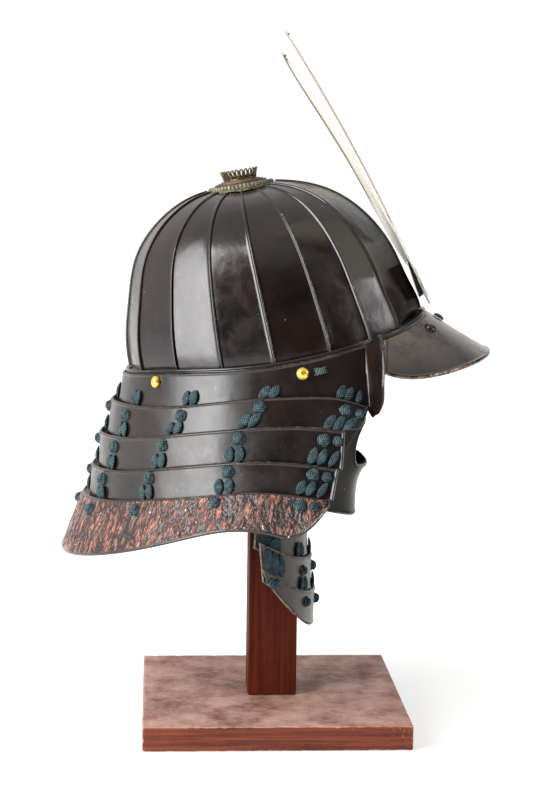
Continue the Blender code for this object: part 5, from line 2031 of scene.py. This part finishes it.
@dataclass
class Studio:
    """Pale floor, bright backdrop, soft lights and the camera; its own sizes are in metres."""

    aim: tuple = (0.0, 0.0, 0.30)
    floor_reach: float = 6.0
    floor_drop: float = 0.0004
    floor_colour: Colour = (0.50, 0.497, 0.49)
    floor_shade: Colour = (0.46, 0.455, 0.445)
    floor_glow: float = 0.58
    glow_start: float = 0.14
    glow_end: float = 0.50
    camera_place: tuple = (-5.8, -1456.0, 441.9)
    camera_down: float = radians(7.45)
    camera_roll: float = radians(0.76)
    focal: float = 84.33

    def build(self) -> None:
        """Builds everything round the object."""
        self.build_camera()
        self.build_floor()
        self.build_world()
        for lamp in LAMPS:
            self.build_lamp(lamp)
        bpy.context.scene.view_settings.view_transform = "Standard"

    def build_camera(self) -> None:
        """Builds the camera and makes it the scene's; its place is in millimetres."""
        data = bpy.data.cameras.new("view")
        data.lens, data.sensor_width, data.clip_end = self.focal, 36.0, 50.0
        camera = bpy.data.objects.new("view", data)
        camera.matrix_world = (Matrix.Translation(Vector(self.camera_place) * MM)
                               @ Matrix.Rotation(pi / 2 - self.camera_down, 4, "X")
                               @ Matrix.Rotation(self.camera_roll, 4, "Z"))
        bpy.context.scene.collection.objects.link(camera)
        bpy.context.scene.camera = camera

    def build_floor(self) -> None:
        """Builds the pale floor, which glows towards the backdrop."""
        reach, low = self.floor_reach, -self.floor_drop
        corners = [(-reach, -reach, low), (reach, -reach, low), (reach, reach, low), (-reach, reach, low)]
        mesh = bpy.data.meshes.new("floor")
        mesh.from_pydata(corners, [], [(0, 1, 2, 3)])
        material = bpy.data.materials.new("pale_floor")
        material.use_nodes = True
        shader = material.node_tree.nodes["Principled BSDF"].inputs
        wire = Wiring(material.node_tree)
        place = wire.add("TexCoord").outputs["Object"]
        far = wire.add("VectorMath", {0: place}, operation="LENGTH").outputs["Value"]
        glow = wire.span(far, self.glow_start, self.glow_end, self.floor_glow, 1.0)
        colour = wire.blend(wire.noise(place, 3.0), self.floor_colour, self.floor_shade)
        for name, value in (("Roughness", 0.9), ("Specular IOR Level", 0.1), ("Emission Strength", 1.0),
                            ("Base Color", colour), ("Emission Color", wire.blend(glow, BLACK, WHITE))):
            wire.feed(shader[name], value)
        mesh.materials.append(material)
        floor = bpy.data.objects.new("floor", mesh)
        bpy.context.scene.collection.objects.link(floor)

    @staticmethod
    def build_world() -> None:
        """Builds the surroundings: white behind, to the left and above the object, dark elsewhere."""
        world = bpy.data.worlds.new("studio")
        bpy.context.scene.world = world
        world.use_nodes = True
        wire = Wiring(world.node_tree)
        background = world.node_tree.nodes["Background"].inputs
        x, y, z = wire.sides(wire.add("TexCoord").outputs["Generated"])
        back_left = wire.minus(wire.times(y, 0.74), wire.times(x, 0.67))
        bright = wire.math("MAXIMUM", wire.span(back_left, 0.10, 0.45, 0.045, 1.0),
                           wire.span(z, 0.42, 0.86, 0.0, 0.85))
        seen = wire.times(wire.add("LightPath").outputs["Is Camera Ray"], 1.06)
        wire.feed(background["Strength"], wire.math("MAXIMUM", bright, seen))
        wire.feed(background["Color"], WHITE)

    def build_lamp(self, lamp: Lamp) -> None:
        """Builds one light; its azimuth is counted from the camera towards the helmet's back."""
        turn, rise = radians(lamp.azimuth), radians(lamp.elevation)
        away = Vector((-sin(turn) * cos(rise), -cos(turn) * cos(rise), sin(rise)))
        data = bpy.data.lights.new(lamp.name, "AREA")
        data.shape = "RECTANGLE"
        data.size, data.size_y, data.energy = lamp.width, lamp.height, lamp.power
        light = bpy.data.objects.new(lamp.name, data)
        light.matrix_world = (Matrix.Translation(Vector(self.aim) + away * lamp.distance)
                              @ away.to_track_quat("Z", "Y").to_matrix().to_4x4())
        light.visible_camera = False
        bpy.context.scene.collection.objects.link(light)


def build_helmet() -> None:
    """Builds every sub-assembly in order."""
    log.info("studio")
    Studio().build()
    log.info("bowl")
    bowl = Bowl()
    bowl.build_plates(Lacquer("brown_lacquer", specular=0.6, bump_strength=0.35, bump_reach=0.0006))
    bowl.build_rim(Lacquer("rim_lacquer", specular=0.6, reach=0.35))
    log.info("peak and crest")
    # Painted shade darkens the peak towards its lower outer edge.
    Peak().build(Iron("russet_iron", metallic=0.3, specular=0.55, dark=(0.030, 0.0215, 0.0170),
                      light=(0.150, 0.118, 0.096), worn=(0.24, 0.150, 0.100), painted_shade=(0.022, 0.0160, 0.0125),
                      painted_shade_heights=(-12.0, -50.0), smooth=0.12, dull=0.26, patchy=0.19),
                 Lacquer("rivet_lacquer", slot=Slot.STEEL, specular=0.6))
    crest = Crest()
    crest.build(PaleGilt("pale_gilding", specular=0.2, bump_strength=0.03))
    crest.build_holder(Lacquer("bracket_lacquer", specular=0.2))
    log.info("crown ornament")
    CrownOrnament().build(
        Patina("olive_patina", metallic=0.3, worn=(0.25, 0.225, 0.165), bump_strength=0.4),
        Patina("collar_patina", metallic=0.4, deep=(0.05, 0.028, 0.020), olive=(0.16, 0.095, 0.070)),
        Gilt("crown_gilding", metallic=0.85, tarnish=0.62, bright=(0.15, 0.11, 0.058),
             dark=(0.035, 0.025, 0.015)))
    log.info("neck guard")
    neck = NeckGuard()
    neck.build(Lacquer("satin_lacquer", specular=0.6, smooth=0.24, dull=0.36, worn=(0.075, 0.045, 0.032),
                       worn_red=(0.030, 0.012, 0.008), reach=0.3),
               Bark("bark_lacquer", bump_strength=0.7, bump_reach=0.0006, specular=0.6))
    neck.build_studs(Gilt("stud_gilding", metallic=0.85, tarnish=0.12, bright=(0.90, 0.56, 0.10)))
    NeckLacing().build(SilkCord("teal_silk", specular=0.2, bump_strength=0.8, bump_reach=0.0006))
    Tuft().build(SilkCord("faded_silk", specular=0.25, deep=(0.010, 0.016, 0.012), strand_painted_light=(0.05, 0.085, 0.06),
                          bump_strength=0.6))
    log.info("chin and throat guards")
    # Painted shade darkens the chin guard's upper cheeks, from 216 mm up, where the flap and the top lame
    # shade them.
    ChinGuard().build(Iron("chin_iron", specular=0.16, dark=(0.006, 0.0054, 0.0040),
                           light=(0.017, 0.0155, 0.0115), painted_shade_heights=(216.0, 226.0)))
    ThroatGuard().build(
        Iron("throat_iron", metallic=0.1, dark=(0.019, 0.0148, 0.0105), light=(0.058, 0.046, 0.034)),
        SilkCord("deep_teal_silk", specular=0.15, strand_painted_light=(0.016, 0.040, 0.056), faded=(0.10, 0.16, 0.19),
                 bump_strength=0.8, bump_reach=0.0006))
    log.info("stand")
    Stand().build(
        Timber("board_timber", specular=0.2, dust=0.85, coarse=1.0, bump_strength=0.5,
               grain_turn=(0.0, pi / 2, 0.0)),
        Timber("post_timber", specular=0.06, deep=(0.046, 0.0070, 0.0034), red=(0.094, 0.0160, 0.0072),
               chip=(0.20, 0.085, 0.055), reach=0.12, bump_strength=0.3))
    log.info("sizes written")


if __name__ == "__main__":
    build_helmet()
